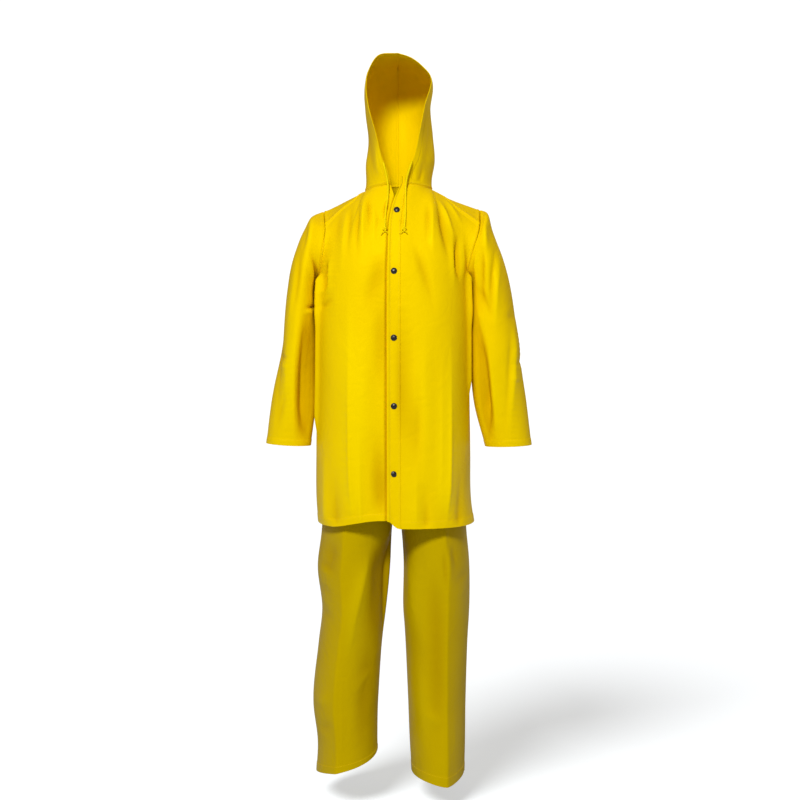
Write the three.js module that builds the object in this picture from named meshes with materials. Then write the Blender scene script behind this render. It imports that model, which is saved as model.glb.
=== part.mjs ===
import * as THREE from 'three';

// Rain suit of coated cloth: hooded jacket with a snapped front fly, worn over plain trousers.
// Millimetres, +Z up, -Y is the wearer's front, +X is the wearer's left.
// The origin lies between the shoulders at the base of the neck.

// Driving sizes
const WALL = 1.5;
const SEAM_GAP = 0.3;
const CHEST_Z = -215;
const HEM_Z = -813;
const RING_SQUARENESS = 0.04;
const NECK_SHARE = 0.45;
const FLY_LIFT = 0.3;
const ARMHOLE_GAP = 1.8;
const UNDERLAP_INSET = 3;
const FRONT_HEM_LIFT = 19;
const SNAP_DIAMETER = 15;
const SNAP_HEIGHT = 3.6;
const CORD_DIAMETER = 4;
const WAISTBAND_HEIGHT = 42;
const WAIST_Z = -432;
const TROUSER_HEM_Z = -1447;
const CROTCH_Z = -705;
const CENTRE_X = -5;

// How strongly the yoke's columns leave the chest and reach the neck, as shares of their length
const YOKE_PULL = { chest: 0.95, neck: 0.9, forward: 0.4, up: 0.92 };
// Where the yoke begins to be drawn to the armhole, and how suddenly
const ARMHOLE_DRAW = { from: 0.5, power: 1.6 };
// The shoulder seam lies forward of the ridge: its drop, and the share of the shoulder where it falls
const SHOULDER_SEAM = { drop: 0.2, right: 0.14, left: 0.3 };
// Rounded lower corner of the fly, and the right front's hem that rises towards it
const HEM_CORNER = 0.045;
const RIGHT_HEM = { from: -0.55, run: 0.45 };
const UNDERLAP = { from: -0.3, run: 0.18 };
// How fast the hood's foot settles onto the neck seam, and a trouser hem onto its slant
const HOOD_SETTLE = 4;
const HEM_SETTLE = 12;

// Jacket rings below the chest: half widths to each side, depth in front and behind
const JACKET_RINGS = [
  { z: -830, right: 197, left: 191, front: 172, back: 166 },
  { z: -760, right: 203, left: 181, front: 172, back: 166 },
  { z: -640, right: 203, left: 179, front: 170, back: 166 },
  { z: -450, right: 200, left: 176, front: 166, back: 164 },
  { z: -300, right: 198, left: 175, front: 160, back: 158 },
  { z: -215, right: 195, left: 173, front: 153, back: 148 },
  { z: -150, right: 192, left: 172, front: 146, back: 138 },
];

// Neck seam: half widths, front and back depth, height at the front, sides and back
const NECK = { right: 81, left: 84, front: 81, back: 86, frontZ: 9, sideRightZ: -3, sideLeftZ: 1, backZ: 20 };

// Shoulder ridge from the neck seam (reach 0) to the top of the armhole (reach 1)
const SHOULDER = [
  { reach: 0, right: 81, left: 84, y: 0, rightZ: -3, leftZ: 1 },
  { reach: 0.2, right: 101, left: 107, y: 4, rightZ: -12, leftZ: -10 },
  { reach: 0.5, right: 131, left: 141, y: 8, rightZ: -25, leftZ: -24 },
  { reach: 1, right: 184, left: 203, y: 10, rightZ: -50, leftZ: -46 },
];

// Armholes from the underarm (rise 0) to the shoulder tip (rise 1)
const ARMHOLES = {
  right: {
    front: [
      { rise: 0, x: -195, y: 0, z: -215 },
      { rise: 0.25, x: -192, y: -46, z: -203 },
      { rise: 0.5, x: -184, y: -72, z: -155 },
      { rise: 0.75, x: -177, y: -56, z: -100 },
      { rise: 1, x: -184, y: 10, z: -50 },
    ],
    back: [
      { rise: 0, x: -195, y: 0, z: -215 },
      { rise: 0.25, x: -192, y: 48, z: -200 },
      { rise: 0.5, x: -186, y: 78, z: -145 },
      { rise: 0.75, x: -180, y: 64, z: -88 },
      { rise: 1, x: -184, y: 10, z: -50 },
    ],
  },
  left: {
    front: [
      { rise: 0, x: 173, y: 0, z: -215 },
      { rise: 0.25, x: 170, y: -46, z: -200 },
      { rise: 0.5, x: 181, y: -70, z: -150 },
      { rise: 0.75, x: 197, y: -54, z: -98 },
      { rise: 1, x: 203, y: 10, z: -46 },
    ],
    back: [
      { rise: 0, x: 173, y: 0, z: -215 },
      { rise: 0.25, x: 170, y: 48, z: -198 },
      { rise: 0.5, x: 181, y: 78, z: -142 },
      { rise: 0.75, x: 196, y: 62, z: -86 },
      { rise: 1, x: 203, y: 10, z: -46 },
    ],
  },
};

// Sleeve rings below the armhole: outer and inner ends of the ring, front and back depth
const SLEEVES = {
  right: [
    { step: 0.05, outX: 211, outZ: -64, inX: 202, inZ: -224, front: 78, back: 84 },
    { step: 0.1, outX: 232, outZ: -98, inX: 203, inZ: -250, front: 84, back: 88 },
    { step: 0.2, outX: 259, outZ: -169, inX: 202, inZ: -296, front: 90, back: 90 },
    { step: 0.32, outX: 273, outZ: -245, inX: 202, inZ: -340, front: 90, back: 86 },
    { step: 0.5, outX: 285, outZ: -367, inX: 203, inZ: -410, front: 86, back: 78 },
    { step: 0.62, outX: 294, outZ: -420, inX: 204, inZ: -450, front: 80, back: 72 },
    { step: 0.8, outX: 313, outZ: -516, inX: 205, inZ: -530, front: 66, back: 62 },
    { step: 1, outX: 327, outZ: -622, inX: 217, inZ: -628, front: 52, back: 50 },
  ],
  left: [
    { step: 0.05, outX: 220, outZ: -56, inX: 180, inZ: -224, front: 78, back: 84 },
    { step: 0.1, outX: 232, outZ: -96, inX: 181, inZ: -250, front: 84, back: 88 },
    { step: 0.2, outX: 260, outZ: -169, inX: 180, inZ: -296, front: 88, back: 88 },
    { step: 0.32, outX: 279, outZ: -245, inX: 179, inZ: -340, front: 88, back: 84 },
    { step: 0.5, outX: 296, outZ: -367, inX: 180, inZ: -410, front: 84, back: 74 },
    { step: 0.62, outX: 301, outZ: -420, inX: 181, inZ: -450, front: 78, back: 70 },
    { step: 0.8, outX: 318, outZ: -516, inX: 190, inZ: -530, front: 64, back: 62 },
    { step: 1, outX: 332, outZ: -626, inX: 217, inZ: -630, front: 52, back: 50 },
  ],
};

// Hood face edge from the neck seam (rise 0) to the top of the forehead (rise 1)
const HOOD_EDGE = {
  right: [
    { rise: 0, x: -22, y: -79, z: 9 },
    { rise: 0.08, x: -26, y: -85, z: 34 },
    { rise: 0.2, x: -39, y: -91, z: 68 },
    { rise: 0.38, x: -54, y: -92, z: 130 },
    { rise: 0.55, x: -70, y: -88, z: 190 },
    { rise: 0.7, x: -76, y: -82, z: 242 },
    { rise: 0.82, x: -68, y: -78, z: 283 },
    { rise: 0.91, x: -45, y: -75, z: 315 },
    { rise: 1, x: 0, y: -75, z: 319 },
  ],
  left: [
    { rise: 0, x: 17, y: -80, z: 9 },
    { rise: 0.08, x: 21, y: -85, z: 35 },
    { rise: 0.2, x: 38, y: -90, z: 72 },
    { rise: 0.38, x: 51, y: -92, z: 130 },
    { rise: 0.55, x: 64, y: -88, z: 195 },
    { rise: 0.72, x: 79, y: -80, z: 258 },
    { rise: 0.84, x: 58, y: -77, z: 288 },
    { rise: 0.92, x: 32, y: -75, z: 308 },
    { rise: 1, x: 0, y: -75, z: 319 },
  ],
};

// Hood body at each rise: centre back line, bulge of each side, how squarely a ring leaves the face edge
const HOOD_BODY = [
  { rise: 0, backY: 86, backZ: 20, right: 70, left: 70, square: 0 },
  { rise: 0.2, backY: 106, backZ: 86, right: 54, left: 64, square: 0.35 },
  { rise: 0.4, backY: 124, backZ: 152, right: 33, left: 48, square: 0.8 },
  { rise: 0.6, backY: 130, backZ: 212, right: 19, left: 24, square: 1 },
  { rise: 0.8, backY: 118, backZ: 268, right: 14, left: 14, square: 1 },
  { rise: 0.92, backY: 98, backZ: 300, right: 7, left: 7, square: 1 },
  { rise: 1, backY: 74, backZ: 317, right: 0, left: 0, square: 1 },
];

// Trouser legs from hem to waist: outer side, inner side or centre line, crease depth in front and behind
const TROUSERS = {
  right: [
    { z: -1450, outX: -204, inX: -52, inFront: 0, inBack: 0, front: 96, back: 88 },
    { z: -1372, outX: -201, inX: -52, inFront: 0, inBack: 0, front: 94, back: 88 },
    { z: -1270, outX: -212, inX: -50, inFront: 0, inBack: 0, front: 95, back: 88 },
    { z: -1118, outX: -198, inX: -40, inFront: 0, inBack: 0, front: 98, back: 92 },
    { z: -1035, outX: -189, inX: -30, inFront: 0, inBack: 0, front: 102, back: 98 },
    { z: -929, outX: -200, inX: -20, inFront: 0, inBack: 0, front: 108, back: 106 },
    { z: -841, outX: -190, inX: -16, inFront: 0, inBack: 0, front: 114, back: 116 },
    { z: -705, outX: -182, inX: CENTRE_X, inFront: 0, inBack: 0, front: 120, back: 126 },
    { z: -640, outX: -178, inX: CENTRE_X, inFront: 84, inBack: 104, front: 122, back: 128 },
    { z: -560, outX: -172, inX: CENTRE_X, inFront: 112, inBack: 122, front: 120, back: 126 },
    { z: -432, outX: -160, inX: CENTRE_X, inFront: 112, inBack: 112, front: 112, back: 112 },
  ],
  left: [
    { z: -1450, outX: 166, inX: 35, inFront: 0, inBack: 0, front: 104, back: 84 },
    { z: -1372, outX: 168, inX: 30, inFront: 0, inBack: 0, front: 100, back: 84 },
    { z: -1270, outX: 169, inX: 26, inFront: 0, inBack: 0, front: 98, back: 86 },
    { z: -1118, outX: 173, inX: 19, inFront: 0, inBack: 0, front: 100, back: 90 },
    { z: -1017, outX: 178, inX: 14, inFront: 0, inBack: 0, front: 104, back: 96 },
    { z: -916, outX: 177, inX: 14, inFront: 0, inBack: 0, front: 110, back: 104 },
    { z: -841, outX: 170, inX: 9, inFront: 0, inBack: 0, front: 114, back: 114 },
    { z: -705, outX: 160, inX: CENTRE_X, inFront: 0, inBack: 0, front: 120, back: 126 },
    { z: -640, outX: 157, inX: CENTRE_X, inFront: 84, inBack: 104, front: 122, back: 128 },
    { z: -560, outX: 154, inX: CENTRE_X, inFront: 112, inBack: 122, front: 120, back: 126 },
    { z: -432, outX: 150, inX: CENTRE_X, inFront: 112, inBack: 112, front: 112, back: 112 },
  ],
};
const TROUSER_CREASE = { at: 0.375, height: 13, width: 0.1, topZ: -600, run: 200 };
// How far each trouser hem rises from its outer seam to its inseam, and dips at its crease
const HEM_SLANT = { right: { rise: 57, dip: 0 }, left: { rise: 3, dip: 9 }, dipWidth: 0.2 };

// Fly and front edges, as shares of the way from centre front to the side seam
const FLY_EDGE = [
  { height: -1, outer: -0.068, inner: 0.019 },
  { height: 0.3, outer: -0.068, inner: 0.019 },
  { height: 0.6, outer: -0.062, inner: 0.026 },
  { height: 0.8, outer: -0.03, inner: 0.046 },
  { height: 1, outer: 0.03, inner: 0.0585 },
];
const UNDERLAP_EDGE = [
  { height: -1, edge: 0.03 },
  { height: 0.3, edge: 0.03 },
  { height: 0.7, edge: 0.0 },
  { height: 1, edge: -0.068 },
];
// Where the hood's face edges meet the neck seam, as turns from centre front
const HOOD_START = { right: 0.068 / 0.45, left: 0.064 / 0.45 };
// Columns of a front panel: fly edge, snap line, fly seam, then even shares of neck and shoulder
const FLY_COLUMN = 0.1;
const SNAP_COLUMN = 0.05;
const PLAIN_COLUMN = 0.1125;
const FLY_TOP = 1.09;
const SNAPS = [
  { name: 'snap_1', z: -57 },
  { name: 'snap_2', z: -204 },
  { name: 'snap_3', z: -361 },
  { name: 'snap_4', z: -522 },
  { name: 'snap_5', z: -682 },
];
// How far a cap's rim stands off the fly, and its profile as shares of radius and height
const SNAP_SEAT = 0.4;
const SNAP_PROFILE = [[0, 0], [0.93, 0], [1, 0.25], [0.9, 0.61], [0.55, 0.92], [0, 1]];
// Knot profile from its lower end up: radius and distance along the cord
const KNOT_PROFILE = [
  [0, -14], [5, -14], [4, -10.5], [2.8, -7.6], [4.6, -5], [4.4, -2.6], [2.4, -0.4], [0, 0],
];

// Drawcord ends: from the hood edge down the front of the chest to the knot
const CORD_ROUTES = {
  drawcord_right: [
    [-35, -90.3, 57], [-34, -94, 52.5], [-31.5, -95, 43], [-27, -92.5, 24], [-24, -91.5, 4],
    [-24, -92.5, -20], [-28, -101.2, -50], [-30.5, -114.2, -80], [-31, -123.8, -100],
  ],
  drawcord_left: [
    [33, -90.6, 60], [32, -94.5, 55.5], [28, -95.5, 44], [21.5, -93.5, 22], [18.5, -93, 2],
    [18, -96, -20], [18, -106.8, -50], [17, -119, -78], [15, -129.2, -100],
  ],
};

// Small helpers
const QUARTER = Math.PI / 2;

function mix(a, b, share) {
  return a + (b - a) * share;
}

function clamp01(value) {
  return Math.min(1, Math.max(0, value));
}

function ease(value) {
  const t = clamp01(value);
  return t * t * (3 - 2 * t);
}

// The value of one column of a table, on a smooth curve through its rows
function column(rows, key, name, at) {
  const last = rows.length - 1;
  let i = 0;
  while (i < last - 1 && at > rows[i + 1][key]) i += 1;
  const slope = (k) => (rows[k + 1][name] - rows[k][name]) / (rows[k + 1][key] - rows[k][key]);
  const span = rows[i + 1][key] - rows[i][key];
  const here = slope(i);
  const before = i > 0 ? (slope(i - 1) + here) / 2 : here;
  const after = i < last - 1 ? (here + slope(i + 1)) / 2 : here;
  const t = Math.min(1.2, Math.max(-0.2, (at - rows[i][key]) / span));
  const rest = 1 - t;
  return rows[i][name] * rest * rest * (1 + 2 * t) + before * span * t * rest * rest
    + rows[i + 1][name] * t * t * (3 - 2 * t) - after * span * t * t * rest;
}

function xyz(point) {
  return { x: point.x, y: point.y, z: point.z };
}

function hermite(start, startPull, end, endPull, t) {
  const rest = 1 - t;
  return start.clone().multiplyScalar(rest * rest * (1 + 2 * t))
    .addScaledVector(startPull, t * rest * rest)
    .addScaledVector(end, t * t * (3 - 2 * t))
    .addScaledVector(endPull, -t * t * rest);
}

// Jacket surface: across runs -1 (wearer's right side seam) to 1 (left side seam),
// height runs -1 (hem) to 0 (chest) to 1 (shoulder ridge or neck seam)
function jacketRing(face, across, z) {
  const angle = across * QUARTER;
  const side = across < 0 ? 'right' : 'left';
  const width = column(JACKET_RINGS, 'z', side, z);
  const depth = column(JACKET_RINGS, 'z', face, z);
  const q = RING_SQUARENESS;
  const x = width * ((1 + q) * Math.sin(angle) + q * Math.sin(3 * angle));
  const y = depth * ((1 + q) * Math.cos(angle) - q * Math.cos(3 * angle));
  return new THREE.Vector3(x, face === 'front' ? -y : y, z);
}

function neckSeam(angle) {
  const side = angle < 0 ? 'right' : 'left';
  const sideZ = angle < 0 ? NECK.sideRightZ : NECK.sideLeftZ;
  const along = Math.cos(angle);
  const depth = along > 0 ? NECK.front : NECK.back;
  const endZ = along > 0 ? NECK.frontZ : NECK.backZ;
  return new THREE.Vector3(NECK[side] * Math.sin(angle), -depth * along, mix(sideZ, endZ, along * along));
}

function jacketTop(face, across) {
  const turn = across / NECK_SHARE;
  if (Math.abs(turn) <= 1) {
    return neckSeam(face === 'front' ? turn * QUARTER : Math.sign(turn || 1) * Math.PI - turn * QUARTER);
  }
  const reach = (Math.abs(across) - NECK_SHARE) / (1 - NECK_SHARE);
  const side = across < 0 ? 'right' : 'left';
  const x = column(SHOULDER, 'reach', side, reach);
  const z = column(SHOULDER, 'reach', side + 'Z', reach);
  return new THREE.Vector3(across < 0 ? -x : x, column(SHOULDER, 'reach', 'y', reach), z);
}

function armholePoint(side, face, rise) {
  const rows = ARMHOLES[side][face];
  const at = clamp01(rise);
  return new THREE.Vector3(
    column(rows, 'rise', 'x', at), column(rows, 'rise', 'y', at), column(rows, 'rise', 'z', at),
  );
}

// One column of the yoke, before it is drawn to the armhole
function yokeColumn(face, across, height) {
  const start = jacketRing(face, across, CHEST_Z);
  const end = jacketTop(face, across);
  const reach = start.distanceTo(end);
  const startPull = jacketRing(face, across, CHEST_Z + 10).sub(start).setLength(reach * YOKE_PULL.chest);
  const onShoulder = ease((Math.abs(across) - 0.1) / (NECK_SHARE - 0.1));
  const back = face === 'front' ? 1 : -1;
  const forward = back * mix(YOKE_PULL.forward, 1, onShoulder);
  const endPull = new THREE.Vector3(0, forward, mix(YOKE_PULL.up, 0, onShoulder));
  endPull.setLength(reach * mix(YOKE_PULL.neck, 1, onShoulder));
  return hermite(start, startPull, end, endPull, height);
}

function jacketSurface(face, across, height, hemLift = 0) {
  if (height <= 0) {
    const low = HEM_Z + hemLift;
    return jacketRing(face, across, mix(CHEST_Z, low, -height));
  }
  const side = across < 0 ? 'right' : 'left';
  const edge = Math.sign(across || 1);
  const point = yokeColumn(face, across, height);
  const outward = clamp01((Math.abs(across) - ARMHOLE_DRAW.from) / (1 - ARMHOLE_DRAW.from));
  const shift = armholePoint(side, face, height).sub(yokeColumn(face, edge, height));
  return point.addScaledVector(shift, Math.pow(outward, ARMHOLE_DRAW.power));
}

// Height of the forward shoulder seam on a front column
function seamHeight(across) {
  const run = across < 0 ? SHOULDER_SEAM.right : SHOULDER_SEAM.left;
  return 1 - SHOULDER_SEAM.drop * ease((Math.abs(across) - NECK_SHARE) / run);
}

// Panels as surfaces of two shares: u across the panel, v from hem to top
const HEM_SHARE = 0.62;

function panelHeight(v, top) {
  return v < HEM_SHARE ? v / HEM_SHARE - 1 : ((v - HEM_SHARE) / (1 - HEM_SHARE)) * top;
}

function leftFront(u, v) {
  const flyHeight = panelHeight(v, 1);
  const outer = column(FLY_EDGE, 'height', 'outer', Math.min(flyHeight, 1));
  const inner = column(FLY_EDGE, 'height', 'inner', Math.min(flyHeight, 1));
  const onFly = mix(outer, inner, u / FLY_COLUMN);
  const besideFly = mix(inner, PLAIN_COLUMN, (u - FLY_COLUMN) / (PLAIN_COLUMN - FLY_COLUMN));
  const plain = u < PLAIN_COLUMN ? besideFly : u;
  const across = u < FLY_COLUMN ? onFly : plain;
  const height = panelHeight(v, seamHeight(across));
  const rounding = FRONT_HEM_LIFT * Math.exp(-Math.pow((across - outer) / HEM_CORNER, 2));
  return jacketSurface('front', across, height, rounding * clamp01(-height));
}

function rightFront(u, v) {
  const edge = column(UNDERLAP_EDGE, 'height', 'edge', panelHeight(v, 1));
  const across = u < PLAIN_COLUMN ? mix(edge, -PLAIN_COLUMN, u / PLAIN_COLUMN) : -u;
  const height = panelHeight(v, seamHeight(across));
  const lift = FRONT_HEM_LIFT * ease((across - RIGHT_HEM.from) / RIGHT_HEM.run);
  const point = jacketSurface('front', across, height, lift * clamp01(-height));
  point.y += UNDERLAP_INSET * ease((across - UNDERLAP.from) / UNDERLAP.run);
  return point;
}

function jacketBack(u, v) {
  const across = -u;
  const over = 2 - seamHeight(across);
  const height = panelHeight(v, over);
  if (height <= 1) return jacketSurface('back', across, height);
  return jacketSurface('front', across, 2 - height);
}

// Armhole ring: turn 0 underarm, 0.25 front, 0.5 shoulder tip, 0.75 back
function armholeRing(side, turn) {
  const t = turn - Math.floor(turn);
  return t <= 0.5 ? armholePoint(side, 'front', t * 2) : armholePoint(side, 'back', 2 - t * 2);
}

function sleeveRing(side, row, turn) {
  const sign = side === 'right' ? -1 : 1;
  const angle = turn * 4 * QUARTER;
  const middle = (row.outX + row.inX) / 2;
  const out = (row.outX - row.inX) / 2;
  const drop = (row.outZ - row.inZ) / 2;
  const depth = Math.sin(angle) > 0 ? -row.front : row.back;
  return new THREE.Vector3(
    sign * (middle - out * Math.cos(angle)),
    depth * Math.abs(Math.sin(angle)),
    (row.outZ + row.inZ) / 2 - drop * Math.cos(angle),
  );
}

function sleeveSurface(side, turn, step) {
  const start = armholeRing(side, turn);
  start.x += side === 'right' ? -ARMHOLE_GAP : ARMHOLE_GAP;
  const first = { step: 0, point: start };
  const below = SLEEVES[side].map((row) => ({ step: row.step, point: sleeveRing(side, row, turn) }));
  const rows = [first, ...below].map((ring) => ({ step: ring.step, ...xyz(ring.point) }));
  return new THREE.Vector3(
    column(rows, 'step', 'x', step), column(rows, 'step', 'y', step), column(rows, 'step', 'z', step),
  );
}

// Hood side: s runs from the face edge to the centre seam, t from the neck seam to the ridge
function hoodBody(side, s, t) {
  const rows = HOOD_EDGE[side];
  const edgeX = column(rows, 'rise', 'x', t);
  const edgeY = column(rows, 'rise', 'y', t);
  const edgeZ = column(rows, 'rise', 'z', t);
  const body = (name) => column(HOOD_BODY, 'rise', name, t);
  const square = body('square');
  const sign = side === 'right' ? -1 : 1;
  const fall = mix(1 - s, Math.cos(s * QUARTER), square);
  const along = mix((1 - Math.cos(s * 2 * QUARTER)) / 2, Math.sin(s * QUARTER), square);
  return new THREE.Vector3(
    edgeX * fall + sign * body(side) * Math.sin(s * 2 * QUARTER),
    mix(edgeY, body('backY'), along),
    mix(edgeZ, body('backZ'), ease(s)),
  );
}

function hoodSurface(side, s, t) {
  const sign = side === 'right' ? -1 : 1;
  const angle = sign * mix(HOOD_START[side] * QUARTER, 2 * QUARTER, s);
  const settle = neckSeam(angle).sub(hoodBody(side, s, 0));
  return hoodBody(side, s, t).addScaledVector(settle, Math.pow(1 - t, HOOD_SETTLE));
}

// Trouser panels: u from the outer seam to the inseam, v from hem to waist
function trouserSurface(side, face, u, v) {
  const rows = TROUSERS[side];
  const z = mix(TROUSER_HEM_Z, WAIST_Z, v);
  const get = (name) => column(rows, 'z', name, z);
  const inner = z < CROTCH_Z ? 0 : get(face === 'front' ? 'inFront' : 'inBack');
  const depth = get(face);
  const wave = Math.sin(u * 2 * QUARTER);
  const fold = TROUSER_CREASE;
  const ridge = fold.height * Math.exp(-Math.abs(u - fold.at) / fold.width);
  const crease = ridge * ease((fold.topZ - z) / fold.run);
  const y = (u > 0.5 ? mix(inner, depth, wave) : depth * wave) + crease;
  const x = mix(get('outX'), get('inX'), (1 - Math.cos(u * 2 * QUARTER)) / 2);
  const { rise, dip } = HEM_SLANT[side];
  const slant = rise * u - dip * Math.exp(-Math.pow((u - fold.at) / HEM_SLANT.dipWidth, 2));
  return new THREE.Vector3(x, face === 'front' ? -y : y, z + slant * Math.pow(1 - v, HEM_SETTLE));
}

// A closed cloth wall on a surface: its outer points lie lift outside the surface
function clothWall(surface, us, vs, options = {}) {
  const { flip = false, wrap = false, lift = 0, gaps = {}, inside = 0, keep = (point) => point } = options;
  const STEP = 0.002;
  const across = wrap ? us.length : us.length - 1;
  const first = us[0] + inside + STEP;
  const last = us[us.length - 1] - inside - STEP;
  const outer = [];
  const inner = [];
  const tangent = (u, v, du, dv) => surface(u + du, v + dv).sub(surface(u - du, v - dv));
  vs.forEach((v, row) => {
    us.forEach((u, index) => {
      const point = surface(u, v);
      const safeU = wrap ? u : Math.min(last, Math.max(first, u));
      const safeV = Math.min(1 - inside - STEP, Math.max(STEP, v));
      const alongU = tangent(safeU, safeV, STEP, 0).normalize();
      const alongV = tangent(safeU, safeV, 0, STEP).normalize();
      const normal = alongU.clone().cross(alongV).normalize();
      if (flip) normal.negate();
      if (!wrap && index === 0 && gaps.start) point.addScaledVector(alongU, gaps.start);
      if (!wrap && index === us.length - 1 && gaps.end) point.addScaledVector(alongU, -gaps.end);
      if (row === 0 && gaps.bottom) point.addScaledVector(alongV, gaps.bottom);
      if (row === vs.length - 1 && gaps.top) point.addScaledVector(alongV, -gaps.top);
      outer.push(keep(point.clone().addScaledVector(normal, lift)));
      inner.push(keep(point.clone().addScaledVector(normal, lift - WALL)));
    });
  });
  return stitch(outer, inner, us.length, vs.length, across, flip);
}

// Joins two point grids into one closed wall
function stitch(outer, inner, columns, rows, across, flip) {
  const count = outer.length;
  const faces = [];
  const quad = (a, b, c, d) => {
    faces.push(...(flip ? [a, c, b, a, d, c] : [a, b, c, a, c, d]));
  };
  const id = (i, j) => j * columns + (i % columns);
  for (let j = 0; j < rows - 1; j += 1) {
    for (let i = 0; i < across; i += 1) {
      quad(id(i, j), id(i + 1, j), id(i + 1, j + 1), id(i, j + 1));
      quad(count + id(i, j), count + id(i, j + 1), count + id(i + 1, j + 1), count + id(i + 1, j));
    }
  }
  for (let i = 0; i < across; i += 1) {
    const top = rows - 1;
    quad(count + id(i, 0), count + id(i + 1, 0), id(i + 1, 0), id(i, 0));
    quad(id(i, top), id(i + 1, top), count + id(i + 1, top), count + id(i, top));
  }
  if (across < columns) {
    for (let j = 0; j < rows - 1; j += 1) {
      const end = columns - 1;
      quad(id(0, j), id(0, j + 1), count + id(0, j + 1), count + id(0, j));
      quad(count + id(end, j), count + id(end, j + 1), id(end, j + 1), id(end, j));
    }
  }
  const geometry = new THREE.BufferGeometry();
  const positions = [...outer, ...inner].flatMap((p) => [p.x, p.y, p.z]);
  geometry.setAttribute('position', new THREE.Float32BufferAttribute(positions, 3));
  geometry.setIndex(faces);
  return geometry;
}

function steps(count, from = 0, to = 1) {
  return Array.from({ length: count + 1 }, (_, i) => mix(from, to, i / count));
}

// Materials
const jacketCloth = new THREE.MeshStandardMaterial({ color: 0xe8c800, roughness: 0.42, metalness: 0 });
const trouserCloth = new THREE.MeshStandardMaterial({ color: 0xd8b800, roughness: 0.45, metalness: 0 });
const blackEnamel = new THREE.MeshStandardMaterial({ color: 0x101012, roughness: 0.3, metalness: 0.2 });
const cordYellow = new THREE.MeshStandardMaterial({ color: 0xf0d820, roughness: 0.7, metalness: 0 });

const group = new THREE.Group();

function add(name, geometry, material) {
  const mesh = new THREE.Mesh(geometry, material);
  mesh.name = name;
  group.add(mesh);
  return mesh;
}

const HALF_GAP = SEAM_GAP / 2;
const FRONT_ROWS = [...steps(9, 0, HEM_SHARE), ...steps(10, HEM_SHARE, 1).slice(1)];
const BACK_ROWS = [...steps(9, 0, HEM_SHARE), ...steps(12, HEM_SHARE, 1).slice(1)];
const NECK_COLUMNS = steps(4, 0, NECK_SHARE);
const SHOULDER_COLUMNS = steps(4, NECK_SHARE, 1).slice(1);
const HALF_COLUMNS = [...NECK_COLUMNS.slice(1), ...SHOULDER_COLUMNS];

function addJacket() {
  const sewn = { end: HALF_GAP, top: HALF_GAP };
  const leftColumns = [0, SNAP_COLUMN, FLY_COLUMN, ...HALF_COLUMNS];
  add('jacket_front_left', clothWall(leftFront, leftColumns, FRONT_ROWS, { gaps: sewn }), jacketCloth);
  const rightColumns = [0, ...HALF_COLUMNS];
  const turned = { flip: true, gaps: sewn };
  add('jacket_front_right', clothWall(rightFront, rightColumns, FRONT_ROWS, turned), jacketCloth);
  const backColumns = [...HALF_COLUMNS.map((u) => -u).reverse(), 0, ...HALF_COLUMNS];
  const backGaps = { start: HALF_GAP, end: HALF_GAP, top: HALF_GAP };
  add('jacket_back', clothWall(jacketBack, backColumns, BACK_ROWS, { gaps: backGaps }), jacketCloth);
  const flyRows = [...FRONT_ROWS, mix(HEM_SHARE, 1, FLY_TOP)];
  const flyColumns = [0, SNAP_COLUMN, FLY_COLUMN];
  const lift = FLY_LIFT + WALL;
  add('front_fly', clothWall(leftFront, flyColumns, flyRows, { lift }), jacketCloth);
}

// The sleeve's columns meet the armhole at the rows of the front and back panels
function armholeTurns() {
  const seam = seamHeight(1);
  const front = steps(10, 0, seam).map((rise) => rise / 2);
  const over = steps(12, 0, 2 - seam).slice(1, -1).reverse();
  return [...front, ...over.map((path) => (path > 1 ? (2 - path) / 2 : 1 - path / 2))];
}

function addSleeves() {
  ['right', 'left'].forEach((side) => {
    const surface = (turn, step) => sleeveSurface(side, turn, step);
    const rings = [0, 0.05, 0.1, 0.16, 0.22, 0.3, 0.38, 0.46, 0.54, 0.62, 0.7, 0.78, 0.86, 0.93, 1];
    const options = { wrap: true, flip: side === 'left' };
    add(`sleeve_${side}`, clothWall(surface, armholeTurns(), rings, options), jacketCloth);
  });
}

function addHood() {
  ['right', 'left'].forEach((side) => {
    const surface = (s, t) => hoodSurface(side, s, t);
    const gaps = { top: HALF_GAP, bottom: HALF_GAP };
    const sign = side === 'right' ? -1 : 1;
    const keep = (point) => point.setX(sign * Math.max(HALF_GAP, sign * point.x));
    const toSide = HALF_COLUMNS.slice(0, 4);
    const toBack = NECK_COLUMNS.slice(0, 4).map((u) => 2 * NECK_SHARE - u).reverse();
    const start = HOOD_START[side];
    const columns = [0, ...[...toSide, ...toBack].map((turn) => (turn / NECK_SHARE - start) / (2 - start))];
    const options = { flip: side === 'right', gaps, inside: 0.02, keep };
    add(`hood_${side}`, clothWall(surface, columns, steps(14), options), jacketCloth);
  });
}

function addTrousers() {
  ['right', 'left'].forEach((side) => {
    const sign = side === 'right' ? -1 : 1;
    const keep = (point) => point.setX(CENTRE_X + sign * Math.max(HALF_GAP, sign * (point.x - CENTRE_X)));
    ['front', 'back'].forEach((face) => {
      const surface = (u, v) => trouserSurface(side, face, u, v);
      const flip = (side === 'right') !== (face === 'front');
      const gaps = { start: HALF_GAP, end: HALF_GAP, top: HALF_GAP };
      const panel = clothWall(surface, steps(8), steps(17), { flip, gaps, keep });
      add(`trouser_${face}_${side}`, panel, trouserCloth);
    });
  });
  const turns = steps(32).slice(0, 32);
  const band = clothWall(waistRing, turns, steps(1), { wrap: true, gaps: { bottom: HALF_GAP } });
  add('waistband', band, trouserCloth);
}

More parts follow.
